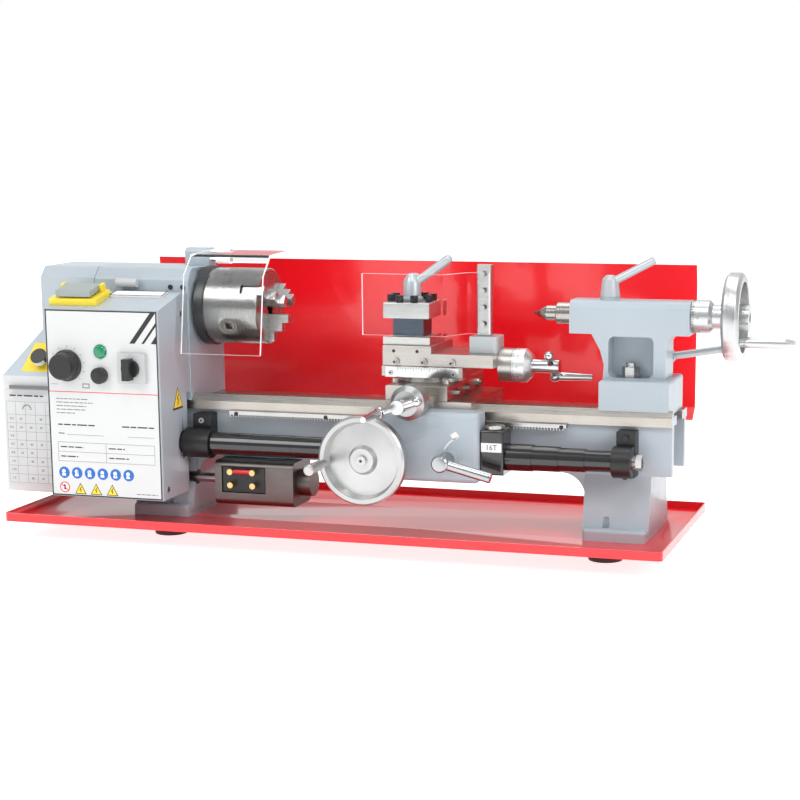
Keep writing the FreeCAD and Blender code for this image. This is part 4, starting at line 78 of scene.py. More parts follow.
def node(made, kind, **inputs):
    """A new shader node; inputs are numbers or other nodes' outputs, spaces written as _."""
    added = made.node_tree.nodes.new(kind)
    for socket, entry in inputs.items():
        target = added.inputs[socket.replace("_", " ")]
        if isinstance(entry, bpy.types.NodeSocket):
            made.node_tree.links.new(entry, target)
        else:
            target.default_value = entry
    return added


def place_on_object(made, scale=(1, 1, 1), centre=(0, 0, 0)):
    """Object coordinates, moved to a centre and then scaled."""
    where = node(made, "ShaderNodeTexCoord").outputs["Object"]
    moved = node(made, "ShaderNodeVectorMath", Vector=where)
    moved.operation = "SUBTRACT"
    moved.inputs[1].default_value = centre
    sized = node(made, "ShaderNodeVectorMath", Vector=moved.outputs[0])
    sized.operation = "MULTIPLY"
    sized.inputs[1].default_value = scale
    return sized.outputs[0]


def noise(made, vector, scale, detail=3.0):
    return node(made, "ShaderNodeTexNoise", Vector=vector, Scale=scale, Detail=detail).outputs["Fac"]


def bump(made, height, depth):
    """Relief on the surface, its depth in metres."""
    shader = made.node_tree.nodes["Principled BSDF"]
    raised = node(made, "ShaderNodeBump", Height=height, Distance=depth, Strength=1.0)
    made.node_tree.links.new(raised.outputs["Normal"], shader.inputs["Normal"])


def spread(made, factor, socket, low, high):
    """A noise spread between two numbers on a socket."""
    ranged = node(made, "ShaderNodeMapRange", Value=factor)
    ranged.inputs["From Min"].default_value = 0.3
    ranged.inputs["From Max"].default_value = 0.7
    ranged.inputs["To Min"].default_value = low
    ranged.inputs["To Max"].default_value = high
    shader = made.node_tree.nodes["Principled BSDF"]
    made.node_tree.links.new(ranged.outputs["Result"], shader.inputs[socket])


def tint(made, factor, first, second):
    """A colour that wanders between two shades."""
    ramp = node(made, "ShaderNodeValToRGB", Fac=factor)
    ramp.color_ramp.elements[0].position = 0.35
    ramp.color_ramp.elements[0].color = (*first, 1)
    ramp.color_ramp.elements[1].position = 0.65
    ramp.color_ramp.elements[1].color = (*second, 1)
    shader = made.node_tree.nodes["Principled BSDF"]
    made.node_tree.links.new(ramp.outputs["Color"], shader.inputs["Base Color"])


def painted(name, colour, rough, texture=0.00005, grain=420, coat=0.3):
    """Sprayed enamel with a fine orange-peel surface."""
    made = finish(name, colour, rough, coat=coat)
    where = place_on_object(made)
    bump(made, noise(made, where, grain), texture)
    spread(made, noise(made, where, 35), "Roughness", rough - 0.06, rough + 0.08)
    darker = tuple(c * 0.93 for c in colour)
    tint(made, noise(made, where, 9), darker, colour)
    return made


def ground(name, colour, rough, along):
    """Ground iron: fine straight grinding lines along one axis, and a faint blotch of oil."""
    made = finish(name, colour, rough, metal=1.0)
    scale = [5200, 5200, 5200]
    scale["xyz".index(along)] = 26
    lines = noise(made, place_on_object(made, scale), 1.0, 4)
    bump(made, lines, 0.000004)
    blotch = noise(made, place_on_object(made), 40)
    spread(made, lines, "Roughness", rough - 0.09, rough + 0.12)
    tint(made, blotch, tuple(c * 0.92 for c in colour), colour)
    return made


def lathe_turned(name, colour, rough, axis, centre, pitch=3600):
    """Turned metal: fine tool rings round an axis through a centre."""
    made = finish(name, colour, rough, metal=1.0)
    parts = node(made, "ShaderNodeSeparateXYZ", Vector=place_on_object(made, (1, 1, 1), centre))
    keep = [parts.outputs[letter.upper()] for letter in "xyz" if letter != axis]
    flat = node(made, "ShaderNodeCombineXYZ", X=keep[0], Y=keep[1])
    radius = node(made, "ShaderNodeVectorMath", Vector=flat.outputs[0])
    radius.operation = "LENGTH"
    rings = node(made, "ShaderNodeCombineXYZ", X=radius.outputs["Value"], Y=parts.outputs[axis.upper()])
    lines = noise(made, rings.outputs[0], pitch, 2)
    bump(made, lines, 0.000014)
    spread(made, lines, "Roughness", rough - 0.07, rough + 0.1)
    tint(made, noise(made, place_on_object(made), 30), tuple(c * 0.88 for c in colour), colour)
    return made


GREY = painted("grey_enamel", (0.42, 0.475, 0.52), 0.36, coat=0.25)
CAST_GREY = painted("grey_enamel_on_casting", (0.40, 0.455, 0.50), 0.4, 0.00012, 260, 0.2)
RED = finish("red_enamel", (0.93, 0.004, 0.012), 0.28, coat=0.6)
bump(RED, noise(RED, place_on_object(RED), 700), 0.000006)
# Lighter pink-red for the tray's up-facing top faces and the guard's end edges: a painted highlight where the
# enamelled edges catch the light.
RED_EDGE_HIGHLIGHT = painted("red_edge_painted_highlight", (0.92, 0.16, 0.14), 0.3, 0.00002, 500, 0.5)
BLACK_ENAMEL = painted("black_enamel", (0.006, 0.006, 0.007), 0.45, 0.00003, 420, 0.15)
MOTOR_CAST = ground("motor_casting_skin", (0.20, 0.18, 0.17), 0.44, "x")
IRON_X = ground("iron_ground_along_bed", (0.53, 0.50, 0.47), 0.3, "x")
IRON_Y = ground("iron_ground_across_bed", (0.55, 0.51, 0.47), 0.3, "y")
RAIL = ground("bed_way_ground", (0.52, 0.485, 0.44), 0.3, "x")
STEEL = ground("steel_bright", (0.52, 0.51, 0.50), 0.25, "x")
CHUCK_STEEL = lathe_turned("chuck_turned_steel", (0.36, 0.35, 0.335), 0.24, "x", SPINDLE_AT)
QUILL_STEEL = lathe_turned("quill_turned_steel", (0.44, 0.42, 0.40), 0.2, "x", SPINDLE_AT)
TAIL_ALUMINIUM = lathe_turned("tail_wheel_aluminium", (0.60, 0.61, 0.61), 0.32, "x", SPINDLE_AT)
WHEEL_ALUMINIUM = lathe_turned("carriage_wheel_aluminium", (0.56, 0.56, 0.555), 0.34, "y",
                               (0.0057, -0.11, 0.1015), 2200)
CROSS_METAL = lathe_turned("cross_dial_satin_chrome", (0.50, 0.51, 0.51), 0.32, "y", (0.048, 0, 0.158))
COMPOUND_METAL = lathe_turned("compound_dial_satin_chrome", (0.80, 0.81, 0.81), 0.36, "x",
                              (0, -0.005, 0.1865))
CHROME = finish("polished_chrome", (0.56, 0.57, 0.57), 0.12, metal=1.0)
LEVER_STEEL = finish("lever_satin_steel", (0.42, 0.43, 0.44), 0.26, metal=1.0)
DARK_IRON = ground("flange_dark_iron", (0.09, 0.09, 0.09), 0.4, "z")
SATIN_CAST = painted("satin_cast_lever", (0.47, 0.50, 0.52), 0.34, 0.00003, 500, 0.1)
SATIN_CAST.node_tree.nodes["Principled BSDF"].inputs["Metallic"].default_value = 0.35
BLACKED = ground("oil_blackened_steel", (0.05, 0.05, 0.055), 0.38, "z")
POST_STEEL = ground("toolpost_steel", (0.62, 0.61, 0.59), 0.3, "x")
# A dark blue-grey copy of the toolpost steel for its recessed middle band: painted shade under the top block.
NECK_STEEL_PAINTED_SHADE = ground("toolpost_neck_steel_painted_shade", (0.10, 0.12, 0.15), 0.34, "x")
BRASS = finish("brass_machined", (0.70, 0.50, 0.22), 0.3, metal=1.0)
COVER_BLACK = finish("screw_cover_black", (0.008, 0.008, 0.009), 0.2, coat=0.7)
BLACK = finish("black_plastic", (0.014, 0.014, 0.015), 0.36)
# Black print, and also the black hexagons that stand for the painted shade inside screw sockets and holes.
BLACK_INK_AND_HOLE_SHADE = finish("black_ink_and_hole_shade", (0.018, 0.018, 0.018), 0.45)
GREY_INK = finish("grey_ink", (0.16, 0.16, 0.17), 0.45)
WHITE_INK = finish("white_ink", (0.80, 0.80, 0.80), 0.4)
RED_INK = finish("red_ink", (0.72, 0.03, 0.035), 0.4)
BLUE_INK = finish("blue_ink", (0.01, 0.13, 0.48), 0.4)
YELLOW_INK = finish("yellow_ink", (0.93, 0.66, 0.02), 0.4)
PANEL_WHITE = finish("panel_film", (0.62, 0.625, 0.625), 0.34, coat=0.15)
PLATE_PLASTIC = finish("light_grey_plastic", (0.50, 0.51, 0.51), 0.38)
FLAP_PLASTIC = finish("flap_grey_plastic", (0.30, 0.34, 0.33), 0.35)
YELLOW_PLASTIC = finish("yellow_plastic", (0.86, 0.66, 0.03), 0.3, coat=0.2)
GREEN_LAMP = finish("green_lens", (0.0, 0.22, 0.09), 0.12, coat=0.8)
RED_PLASTIC = finish("red_button", (0.62, 0.02, 0.02), 0.28)
GREEN_PLASTIC = finish("green_button", (0.02, 0.32, 0.1), 0.28)
RUBBER = painted("moulded_rubber", (0.02, 0.02, 0.02), 0.62, 0.00005, 600, 0.0)
CLEAR = finish("clear_acrylic", (0.97, 0.985, 0.99), 0.02, Transmission_Weight=1.0, IOR=1.08)
# The acrylic guards' edges as an opaque near-white surface that glows: a painted highlight of the light caught
# in the edges, given as emission though they are no lamp.
CLEAR_EDGE_GLOW = finish("acrylic_edge_painted_glow", (0.92, 0.94, 0.95), 0.2, coat=0.4, Emission_Strength=0.5)
CLEAR_EDGE_GLOW.node_tree.nodes["Principled BSDF"].inputs["Emission Color"].default_value = (0.9, 0.93, 0.95, 1)


# ---------------------------------------------------------------- mesh work
def to_piece(name, shape, dress, body, edge=0.0, facets=2, sharp=32):
    """A finished bmesh as a shown piece that rides on a body."""
    bmesh.ops.recalc_face_normals(shape, faces=shape.faces)
    mesh = bpy.data.meshes.new(name)
    shape.to_mesh(mesh)
    shape.free()
    return show(name, mesh, dress, body, edge, facets, sharp)


def show(name, mesh, dress, body, edge, facets, sharp=32):
    mesh.shade_smooth()
    mesh.set_sharp_from_angle(angle=math.radians(sharp))
    piece = bpy.data.objects.new(name, mesh)
    bpy.context.scene.collection.objects.link(piece)
    mesh.materials.clear()
    mesh.materials.append(dress)
    if edge:
        soft = piece.modifiers.new("broken_edge", "BEVEL")
        soft.width = edge
        soft.segments = facets
        soft.limit_method = "ANGLE"
        soft.angle_limit = math.radians(sharp)
        soft.harden_normals = True
    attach(piece, body)
    return piece


BODY_OF = {member: body for body, members in frame["record"]["behaviour"]["bodies"].items()
           for member in members}


def work_over(name, dress, edge=0.0005, facets=2, pick=None, even=True, trim=None):
    """A copy of a node's mesh, merged and with its edges broken, shown in the node's place.

    pick gives the finish of each face from its centre and normal, as a place in the list of finishes;
    trim reshapes the merged mesh before that.
    """
    dresses = dress if isinstance(dress, list) else [dress]
    shape = bmesh.new()
    shape.from_mesh(frame["nodes"][name].data)
    bmesh.ops.remove_doubles(shape, verts=shape.verts, dist=2e-6)
    if trim:
        trim(shape)
    if even:
        bmesh.ops.dissolve_limit(shape, angle_limit=math.radians(0.6), verts=shape.verts,
                                 edges=shape.edges)
    if pick:
        for face in shape.faces:
            face.material_index = pick(face.calc_center_median(), face.normal)
    mesh = bpy.data.meshes.new("worked_" + name)
    shape.to_mesh(mesh)
    shape.free()
    indices = [face.material_index for face in mesh.polygons]
    piece = show("worked_" + name, mesh, dresses[0], BODY_OF[name], edge, facets)
    for extra in dresses[1:]:
        mesh.materials.append(extra)
    mesh.polygons.foreach_set("material_index", indices if pick else [0] * len(indices))
    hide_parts(name)
    return piece


def slab(shape, low, high):
    """A block between two corners."""
    low, high = Vector(low), Vector(high)
    move = Matrix.Translation((low + high) / 2) @ Matrix.Diagonal((*(high - low), 1))
    return bmesh.ops.create_cube(shape, size=1, matrix=move)["verts"]


TURN = {"x": Matrix.Rotation(math.pi / 2, 4, "Y"), "y": Matrix.Rotation(-math.pi / 2, 4, "X"),
        "z": Matrix.Identity(4)}


def disc(shape, centre, radius, thick, axis, top=None, sides=48):
    """A round plate or cone about a centre, along an axis."""
    return bmesh.ops.create_cone(shape, cap_ends=True, segments=sides, radius1=radius,
                                 radius2=radius if top is None else top, depth=thick,
                                 matrix=Matrix.Translation(centre) @ TURN[axis])["verts"]


def flat_outline(shape, points, start, depth):
    """A closed outline of points, thickened by a vector."""
    face = shape.faces.new([shape.verts.new(Vector(point) + Vector(start)) for point in points])
    grown = bmesh.ops.extrude_face_region(shape, geom=[face])
    moved = [item for item in grown["geom"] if isinstance(item, bmesh.types.BMVert)]
    bmesh.ops.translate(shape, verts=moved, vec=depth)


def lettering(shape, text, height, move, depth=0.00008, align="CENTER"):
    """Raised characters, laid by a matrix; they face +Z before it."""
    curve = bpy.data.curves.new("lettering", "FONT")
    curve.body = text
    curve.size = height
    curve.extrude = depth
    curve.align_x = align
    curve.align_y = "CENTER"
    curve.resolution_u = 2
    holder = bpy.data.objects.new("lettering", curve)
    bpy.context.scene.collection.objects.link(holder)
    bpy.context.view_layer.update()
    mesh = bpy.data.meshes.new_from_object(holder.evaluated_get(bpy.context.evaluated_depsgraph_get()))
    mesh.transform(move)
    shape.from_mesh(mesh)
    bpy.data.objects.remove(holder)
    bpy.data.meshes.remove(mesh)


# ---------------------------------------------------------------- worked-over nodes
def bed_finish(centre, normal):
    """Ground ways on top, paint on the rest."""
    return 1 if centre.z > 0.1338 else 0


work_over("rubber_feet", RUBBER, 0.0012)
# The second finish on the tray and the guard is the painted edge highlight: lighter red on the tray's up-facing
# faces above 27.5 mm and on the guard's end faces.
work_over("drip_tray", [RED, RED_EDGE_HIGHLIGHT], 0.0004, 2,
          lambda centre, normal: 1 if centre.z > 0.0275 and normal.z > 0.9 else 0, even=False)
work_over("splash_guard", [RED, RED_EDGE_HIGHLIGHT], 0.0003, 2,
          lambda centre, normal: 1 if abs(normal.x) > 0.9 else 0)
work_over("bed", [CAST_GREY, RAIL], 0.0007, 2, bed_finish)
work_over("bed_rack", STEEL, 0.0002, 1)
work_over("headstock", CAST_GREY, 0.0006)
work_over("spindle_bearings", STEEL, 0.0004)
work_over("gear_cover", [GREY, PANEL_WHITE, BLACK], 0.0006, 2,
          lambda centre, normal: 1 if centre.y < -0.0769 else 2 if abs(centre.x + 0.373) < 0.0095 and
          abs(centre.y + 0.071) < 0.014 and abs(centre.z - 0.187) < 0.014 and centre.x > -0.384 and
          centre.y < -0.0662 and centre.z > 0.178 else 0)
work_over("control_box", GREY, 0.0006)
work_over("control_panel", PANEL_WHITE, 0.0002, 1)
work_over("panel_fittings", [PLATE_PLASTIC, GREEN_LAMP, BLACK, WHITE_INK], 0.0004, 2,
          lambda centre, normal: 1 if abs(centre.x + 0.2793) < 0.008 and centre.z > 0.19 and
          centre.y < -0.11 else 2 if centre.x < -0.265 and centre.z < 0.19 else 3 if centre.z > 0.24 else 0)
work_over("speed_knob", BLACK, 0.0005)
work_over("rotary_handle", BLACK, 0.0008)
work_over("stop_switch_base", YELLOW_PLASTIC, 0.0012)
work_over("start_button", GREEN_PLASTIC, 0.0006)
work_over("stop_button", RED_PLASTIC, 0.0006)
work_over("stop_flap", FLAP_PLASTIC, 0.0014)
work_over("guard_hinge_block", [GREY, STEEL, PLATE_PLASTIC], 0.0005, 2,
          lambda centre, normal: 2 if centre.z < 0.275 and centre.y < -0.045 else
          1 if centre.x > -0.211 else 0)
work_over("spindle", [CHUCK_STEEL, DARK_IRON], 0.0004, 2,
          lambda centre, normal: 1 if -0.2085 < centre.x < -0.1975 else 0)
work_over("chuck_body", CHUCK_STEEL, 0.0006)
for number in (1, 2, 3):
    work_over(f"chuck_jaw_{number}", STEEL, 0.0004)
work_over("chuck_key_socket", STEEL, 0.0003)
# The chuck guard's edge faces take the glowing edge finish: a painted highlight.
work_over("chuck_guard", [CLEAR, CLEAR_EDGE_GLOW], 0.0, 1,
          lambda centre, normal: 1 if abs(normal.x) > 0.9 or centre.z < 0.1975 or centre.y > 0.0118 else 0)


def motor_finish(centre, normal):
    """The casting, the black terminal plate, brass posts and the red lead between them."""
    near = abs(centre.x + 0.1465) < 0.0245 and abs(centre.z - 0.064) < 0.0145
    if not near or centre.y > -0.0600:
        return 0
    if abs(centre.x + 0.1465) < 0.009 and abs(centre.z - 0.073) < 0.003 and centre.y < -0.0636:
        return 3
    if centre.y < -0.0637:
        return 2
    return 1 if centre.y > -0.0631 else 0


work_over("motor", [MOTOR_CAST, BLACK, BRASS, RED_PLASTIC], 0.0006, 2, motor_finish)
work_over("motor_shaft", STEEL, 0.0003)
work_over("drive_belt", RUBBER, 0.0004)


def without_blocks(shape):
    """Drop the faces of the two square bracket blocks and their bolts, which round-nosed ones replace.

    Faces are picked by their centres, so a few of the left block's end face stay.
    """
    spare = [face for face in shape.faces if face.calc_center_median().x > -0.2105 and
             (face.calc_center_median().x > 0 or face.calc_center_median().x > -0.2085 or
              face.calc_center_median().z > 0.113 or face.calc_center_median().z < 0.0900 or
              face.calc_center_median().y > -0.050 or face.calc_center_median().y < -0.0735)]
    bmesh.ops.delete(shape, geom=spare, context="FACES")


work_over("leadscrew_brackets", BLACK_ENAMEL, 0.0008, trim=without_blocks)
work_over("idler_gear", BLACK, 0.0002, 1)
work_over("stud_gear", BLACK, 0.0002, 1)
work_over("leadscrew", STEEL, 0.0004)
work_over("saddle", IRON_Y, 0.0006)
work_over("apron", CAST_GREY, 0.0006)
work_over("carriage_handwheel", WHEEL_ALUMINIUM, 0.0005)
work_over("rack_pinion", STEEL, 0.0002, 1)
work_over("half_nut_lever", LEVER_STEEL, 0.0006)
work_over("upper_half_nut", BRASS, 0.0004)
work_over("lower_half_nut", BRASS, 0.0004)
work_over("thread_dial_housing", COVER_BLACK, 0.0006)
work_over("thread_dial", STEEL, 0.0003)
work_over("cross_slide", IRON_Y, 0.0004)
work_over("cross_crank", [CHROME, CROSS_METAL], 0.0004, 2,
          lambda centre, normal: 1 if centre.y > -0.111 else 0)
work_over("compound_base", IRON_X, 0.0004)
work_over("top_slide", IRON_X, 0.0005)
work_over("compound_crank", [CHROME, COMPOUND_METAL], 0.0004, 2,
          lambda centre, normal: 1 if centre.x < 0.1505 else 0)
# The band between 215.5 and 233.8 mm high gets the dark steel: painted shade under the top block.
work_over("toolpost", [POST_STEEL, NECK_STEEL_PAINTED_SHADE], 0.0005, 2,
          lambda centre, normal: 1 if 0.2155 < centre.z < 0.2338 else 0)
CLAMP_SCREW_END = 0.2365


def heads_only(shape):
    """The clamp screws, cut off inside the block."""
    whole = list(shape.verts) + list(shape.edges) + list(shape.faces)
    bmesh.ops.bisect_plane(shape, geom=whole, plane_co=(0, 0, CLAMP_SCREW_END), plane_no=(0, 0, 1),
                           clear_inner=True)
    bmesh.ops.holes_fill(shape, edges=[edge for edge in shape.edges if edge.is_boundary], sides=0)


work_over("toolpost_bolts", BLACKED, 0.0003, trim=heads_only)
work_over("toolpost_lever", SATIN_CAST, 0.0006)
work_over("guard_post_block", SATIN_CAST, 0.0005)
# The tool guard's flat tops and ends take the glowing edge finish, a painted highlight; its right-hand strip is
# steel.
work_over("toolpost_guard", [CLEAR, CLEAR_EDGE_GLOW, STEEL], 0.0, 1,
          lambda centre, normal: 2 if centre.x > 0.091 and (centre.y > -0.0106 or centre.y < -0.0142) else
          1 if abs(normal.z) > 0.9 or abs(normal.x) > 0.95 else 0)
work_over("tailstock_body", [CAST_GREY, IRON_X, STEEL], 0.0007, 2,
          lambda centre, normal: 1 if centre.z < 0.151 else
          2 if centre.z < 0.205 and centre.z > 0.1785 and abs(centre.x - 0.252) < 0.0095
          and abs(centre.y + 0.008) < 0.0092 else 0)
work_over("tailstock_quill", QUILL_STEEL, 0.0004)
work_over("dead_centre", QUILL_STEEL, 0.0003)
work_over("tailstock_handwheel", TAIL_ALUMINIUM, 0.0005)
work_over("quill_lock_lever", SATIN_CAST, 0.0007)
work_over("tailstock_clamp_lever", SATIN_CAST, 0.0006)


# ---------------------------------------------------------------- spiral screw covers
COVER_SKIN = 0.001
COVER_COILS = 4
COVER_SIDES = 64


def screw_cover(name, fixed, moving, fixed_radius, moving_radius):
    """A black spiral cover between bed and carriage, drawn as a fixed stepped tube of coils."""
    shape = bmesh.new()
    low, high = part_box(name)
    middle = (low + high) / 2
    bore = fixed_radius - COVER_SKIN
    outline = [(fixed, bore), (fixed, fixed_radius)]
    for coil in range(COVER_COILS):
        reach = fixed + (moving - fixed) * (coil + 1) / COVER_COILS
        radius = fixed_radius + (moving_radius - fixed_radius) * coil / (COVER_COILS - 1)
        outline[-1] = (outline[-1][0], radius)
        outline += [(reach, radius), (reach, radius)]
    outline[-1] = (moving, bore)
    ring = [shape.verts.new((x, middle.y, middle.z + radius)) for x, radius in outline]
    edges = [shape.edges.new((ring[index - 1], ring[index])) for index in range(len(ring))]
    bmesh.ops.spin(shape, geom=ring + edges, cent=(0, middle.y, middle.z), axis=(1, 0, 0), dvec=(0, 0, 0),
                   angle=math.tau, steps=COVER_SIDES, use_merge=True, use_duplicate=False)
    bmesh.ops.recalc_face_normals(shape, faces=shape.faces)
    mesh = bpy.data.meshes.new("spiral_" + name)
    shape.to_mesh(mesh)
    shape.free()
    mesh.shade_smooth()
    mesh.set_sharp_from_angle(angle=math.radians(32))
    mesh.materials.clear()
    mesh.materials.append(COVER_BLACK)
    piece = bpy.data.objects.new("spiral_" + name, mesh)
    bpy.context.scene.collection.objects.link(piece)
    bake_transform(piece)
    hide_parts(name)


screw_cover("left_screw_cover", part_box("left_screw_cover")[0].x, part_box("left_screw_cover")[1].x, 0.0118,
            0.0111)
screw_cover("right_screw_cover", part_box("right_screw_cover")[1].x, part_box("right_screw_cover")[0].x, 0.0108,
            0.0136)


# ---------------------------------------------------------------- printing on the front panel
FACE_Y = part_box("control_panel")[0].y
FILM = 0.00006


class Print:
    """Printed shapes on an upright face that looks towards the operator, one mesh for each ink."""

    def __init__(self, name, face_y, body, slot_name):
        self.name, self.face_y, self.body, self.slot_name = name, face_y, body, slot_name
        self.inks = {}

    def mesh(self, ink):
        if ink.name not in self.inks:
            self.inks[ink.name] = (bmesh.new(), ink)
        return self.inks[ink.name][0]

    def bar(self, ink, left, right, low, high, layer=1):
        slab(self.mesh(ink), (left, self.face_y - FILM * layer, low), (right, self.face_y, high))

    def spot(self, ink, x, z, radius, layer=1):
        thick = FILM * layer
        disc(self.mesh(ink), (x, self.face_y - thick / 2, z), radius, thick, "y")

    def shape(self, ink, points, layer=1):
        corners = [(x, self.face_y, z) for x, z in points]
        flat_outline(self.mesh(ink), corners, (0, 0, 0), (0, -FILM * layer, 0))

    def stroke(self, ink, start, end, wide, layer=1):
        """A straight band between two points."""
        along = Vector(end) - Vector(start)
        side = Vector((-along.y, along.x)).normalized() * wide / 2
        self.shape(ink, [Vector(start) - side, Vector(end) - side, Vector(end) + side,
                         Vector(start) + side], layer)

    def words(self, ink, x, z, long, tall, rng, layer=1):
        """A line of print too small to read: short marks with gaps."""
        end = x + long
        while x < end:
            mark = min(rng.uniform(1.6, 5.0) * tall, end - x)
            self.bar(ink, x, x + mark, z - tall * 0.28, z + tall * 0.28, layer)
            x += mark + tall * 0.6

    def number(self, ink, text, x, z, tall, layer=1):
        move = Matrix.Translation((x, self.face_y, z)) @ Matrix.Rotation(math.pi / 2, 4, "X")
        lettering(self.mesh(ink), text, tall, move, FILM * layer)

    def done(self):
        for ink_name, (shape, ink) in self.inks.items():
            to_piece(f"{self.name}_{ink_name}", shape, ink, self.body)


def triangle(x, z, half, rise):
    return [(x - half, z - rise / 2), (x + half, z - rise / 2), (x, z + rise / 2)]


def warning(sheet, x, z, half, rise):
    """A yellow warning triangle with a black border and a bolt on it."""
    sheet.shape(BLACK_INK_AND_HOLE_SHADE, triangle(x, z, half, rise), 2)
    sheet.shape(YELLOW_INK, triangle(x, z - rise * 0.03, half * 0.80, rise * 0.80), 3)
    sheet.stroke(BLACK_INK_AND_HOLE_SHADE, (x + half * 0.12, z + rise * 0.14), (x - half * 0.16, z - rise * 0.12),
                 half * 0.14, 4)
    sheet.stroke(BLACK_INK_AND_HOLE_SHADE, (x - half * 0.16, z - rise * 0.10), (x + half * 0.16, z - rise * 0.14),
                 half * 0.12, 4)
    sheet.stroke(BLACK_INK_AND_HOLE_SHADE, (x + half * 0.14, z - rise * 0.12), (x - half * 0.06, z - rise * 0.34),
                 half * 0.12, 4)


def print_panel():
    low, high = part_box("control_panel")
    rng = random.Random(4)
    sheet = Print("panel_print", FACE_Y, "root", "white_panel")
    edge = 0.0014
    sheet.bar(BLACK_INK_AND_HOLE_SHADE, low.x, high.x, low.z, low.z + edge)
    sheet.bar(BLACK_INK_AND_HOLE_SHADE, low.x, high.x, high.z - edge, high.z)
    sheet.bar(BLACK_INK_AND_HOLE_SHADE, low.x, low.x + edge, low.z, high.z)
    sheet.bar(BLACK_INK_AND_HOLE_SHADE, high.x - edge, high.x, low.z, high.z)
    sheet.bar(RED_INK, low.x + edge, high.x - edge, 0.1576, 0.1584)
    top, foot = high.z - edge, 0.210
    right = high.x - edge
    lean = 0.024
    for wide, start in ((0.006, 0.030), (0.003, 0.0165)):
        left = right - start
        sheet.shape(BLACK_INK_AND_HOLE_SHADE, [(left, foot), (left + wide, foot),
                                (min(left + wide + lean, right), top if left + wide + lean < right else
                                 foot + (right - left - wide) / lean * (top - foot)),
                                (min(left + lean, right), top if left + lean < right else
                                 foot + (right - left) / lean * (top - foot))])
    sheet.shape(BLACK_INK_AND_HOLE_SHADE, [(right - 0.006, foot), (right, foot), (right, foot + 0.0085)])
    for number, long in enumerate((0.036, 0.042, 0.034, 0.033, 0.021)):
        sheet.words(GREY_INK, low.x + 0.009, 0.1505 - 0.0037 * number, long, 0.0016, rng)
    sheet.words(BLACK_INK_AND_HOLE_SHADE, low.x + 0.010, 0.1235, 0.042, 0.0024, rng)
    sheet.words(BLACK_INK_AND_HOLE_SHADE, high.x - 0.043, 0.1235, 0.036, 0.0024, rng)
    sheet.bar(GREY_INK, low.x + 0.020, low.x + 0.062, 0.1129, 0.1133)
    sheet.bar(GREY_INK, high.x - 0.037, high.x - 0.007, 0.1129, 0.1133)
    sheet.words(GREY_INK, low.x + 0.010, 0.1142, 0.007, 0.002, rng)
    left, right = low.x + 0.009, high.x - 0.007
    middle = (left + right) / 2
    for z in (0.1050, 0.0950, 0.0850):
        sheet.bar(GREY_INK, left, right, z - 0.0002, z + 0.0002)
    for x in (left, middle, right):
        sheet.bar(GREY_INK, x - 0.0002, x + 0.0002, 0.0850, 0.1050)
    for x in (left, middle):
        for z in (0.1000, 0.0900):
            sheet.words(BLACK_INK_AND_HOLE_SHADE, x + 0.003, z, rng.uniform(0.018, 0.028), 0.0022, rng)
    for number in range(6):
        x, z = -0.3262 + 0.0148 * number, 0.0728
        sheet.spot(BLUE_INK, x, z, 0.0061)
        sheet.spot(WHITE_INK, x - 0.0006, z + 0.0013, 0.0021, 2)
        sheet.bar(WHITE_INK, x - 0.0026, x + 0.0016, z - 0.0036, z - 0.0008, 2)
        turn = number * 1.1
        sheet.stroke(BLUE_INK, (x, z), (x + 0.0028 * math.cos(turn), z + 0.0028 * math.sin(turn)), 0.0008, 3)
    sheet.spot(RED_INK, -0.3262, 0.0572, 0.0058)
    sheet.spot(WHITE_INK, -0.3262, 0.0572, 0.0046, 2)
    sheet.bar(BLACK_INK_AND_HOLE_SHADE, -0.3272, -0.3252, 0.0545, 0.0600, 3)
    sheet.stroke(RED_INK, (-0.3300, 0.0605), (-0.3224, 0.0539), 0.0011, 4)
    for x in (-0.3080, -0.2900, -0.2715):
        warning(sheet, x, 0.0565, 0.0066, 0.0118)
    sheet.words(GREY_INK, high.x - 0.029, 0.0535, 0.024, 0.0016, rng)
    for turn in range(11):
        angle = math.radians(225 - 27 * turn)
        x, z = -0.3175, 0.1855
        sheet.stroke(GREY_INK, (x + 0.0185 * math.cos(angle), z + 0.0185 * math.sin(angle)),
                     (x + 0.0205 * math.cos(angle), z + 0.0205 * math.sin(angle)), 0.0006)
    sheet.bar(GREY_INK, low.x + 0.004, low.x + 0.012, 0.1655, 0.1659)
    sheet.bar(GREY_INK, -0.3010, -0.2930, 0.1622, 0.1672)
    sheet.bar(PANEL_WHITE, -0.3000, -0.2940, 0.1632, 0.1662, 2)
    sheet.done()


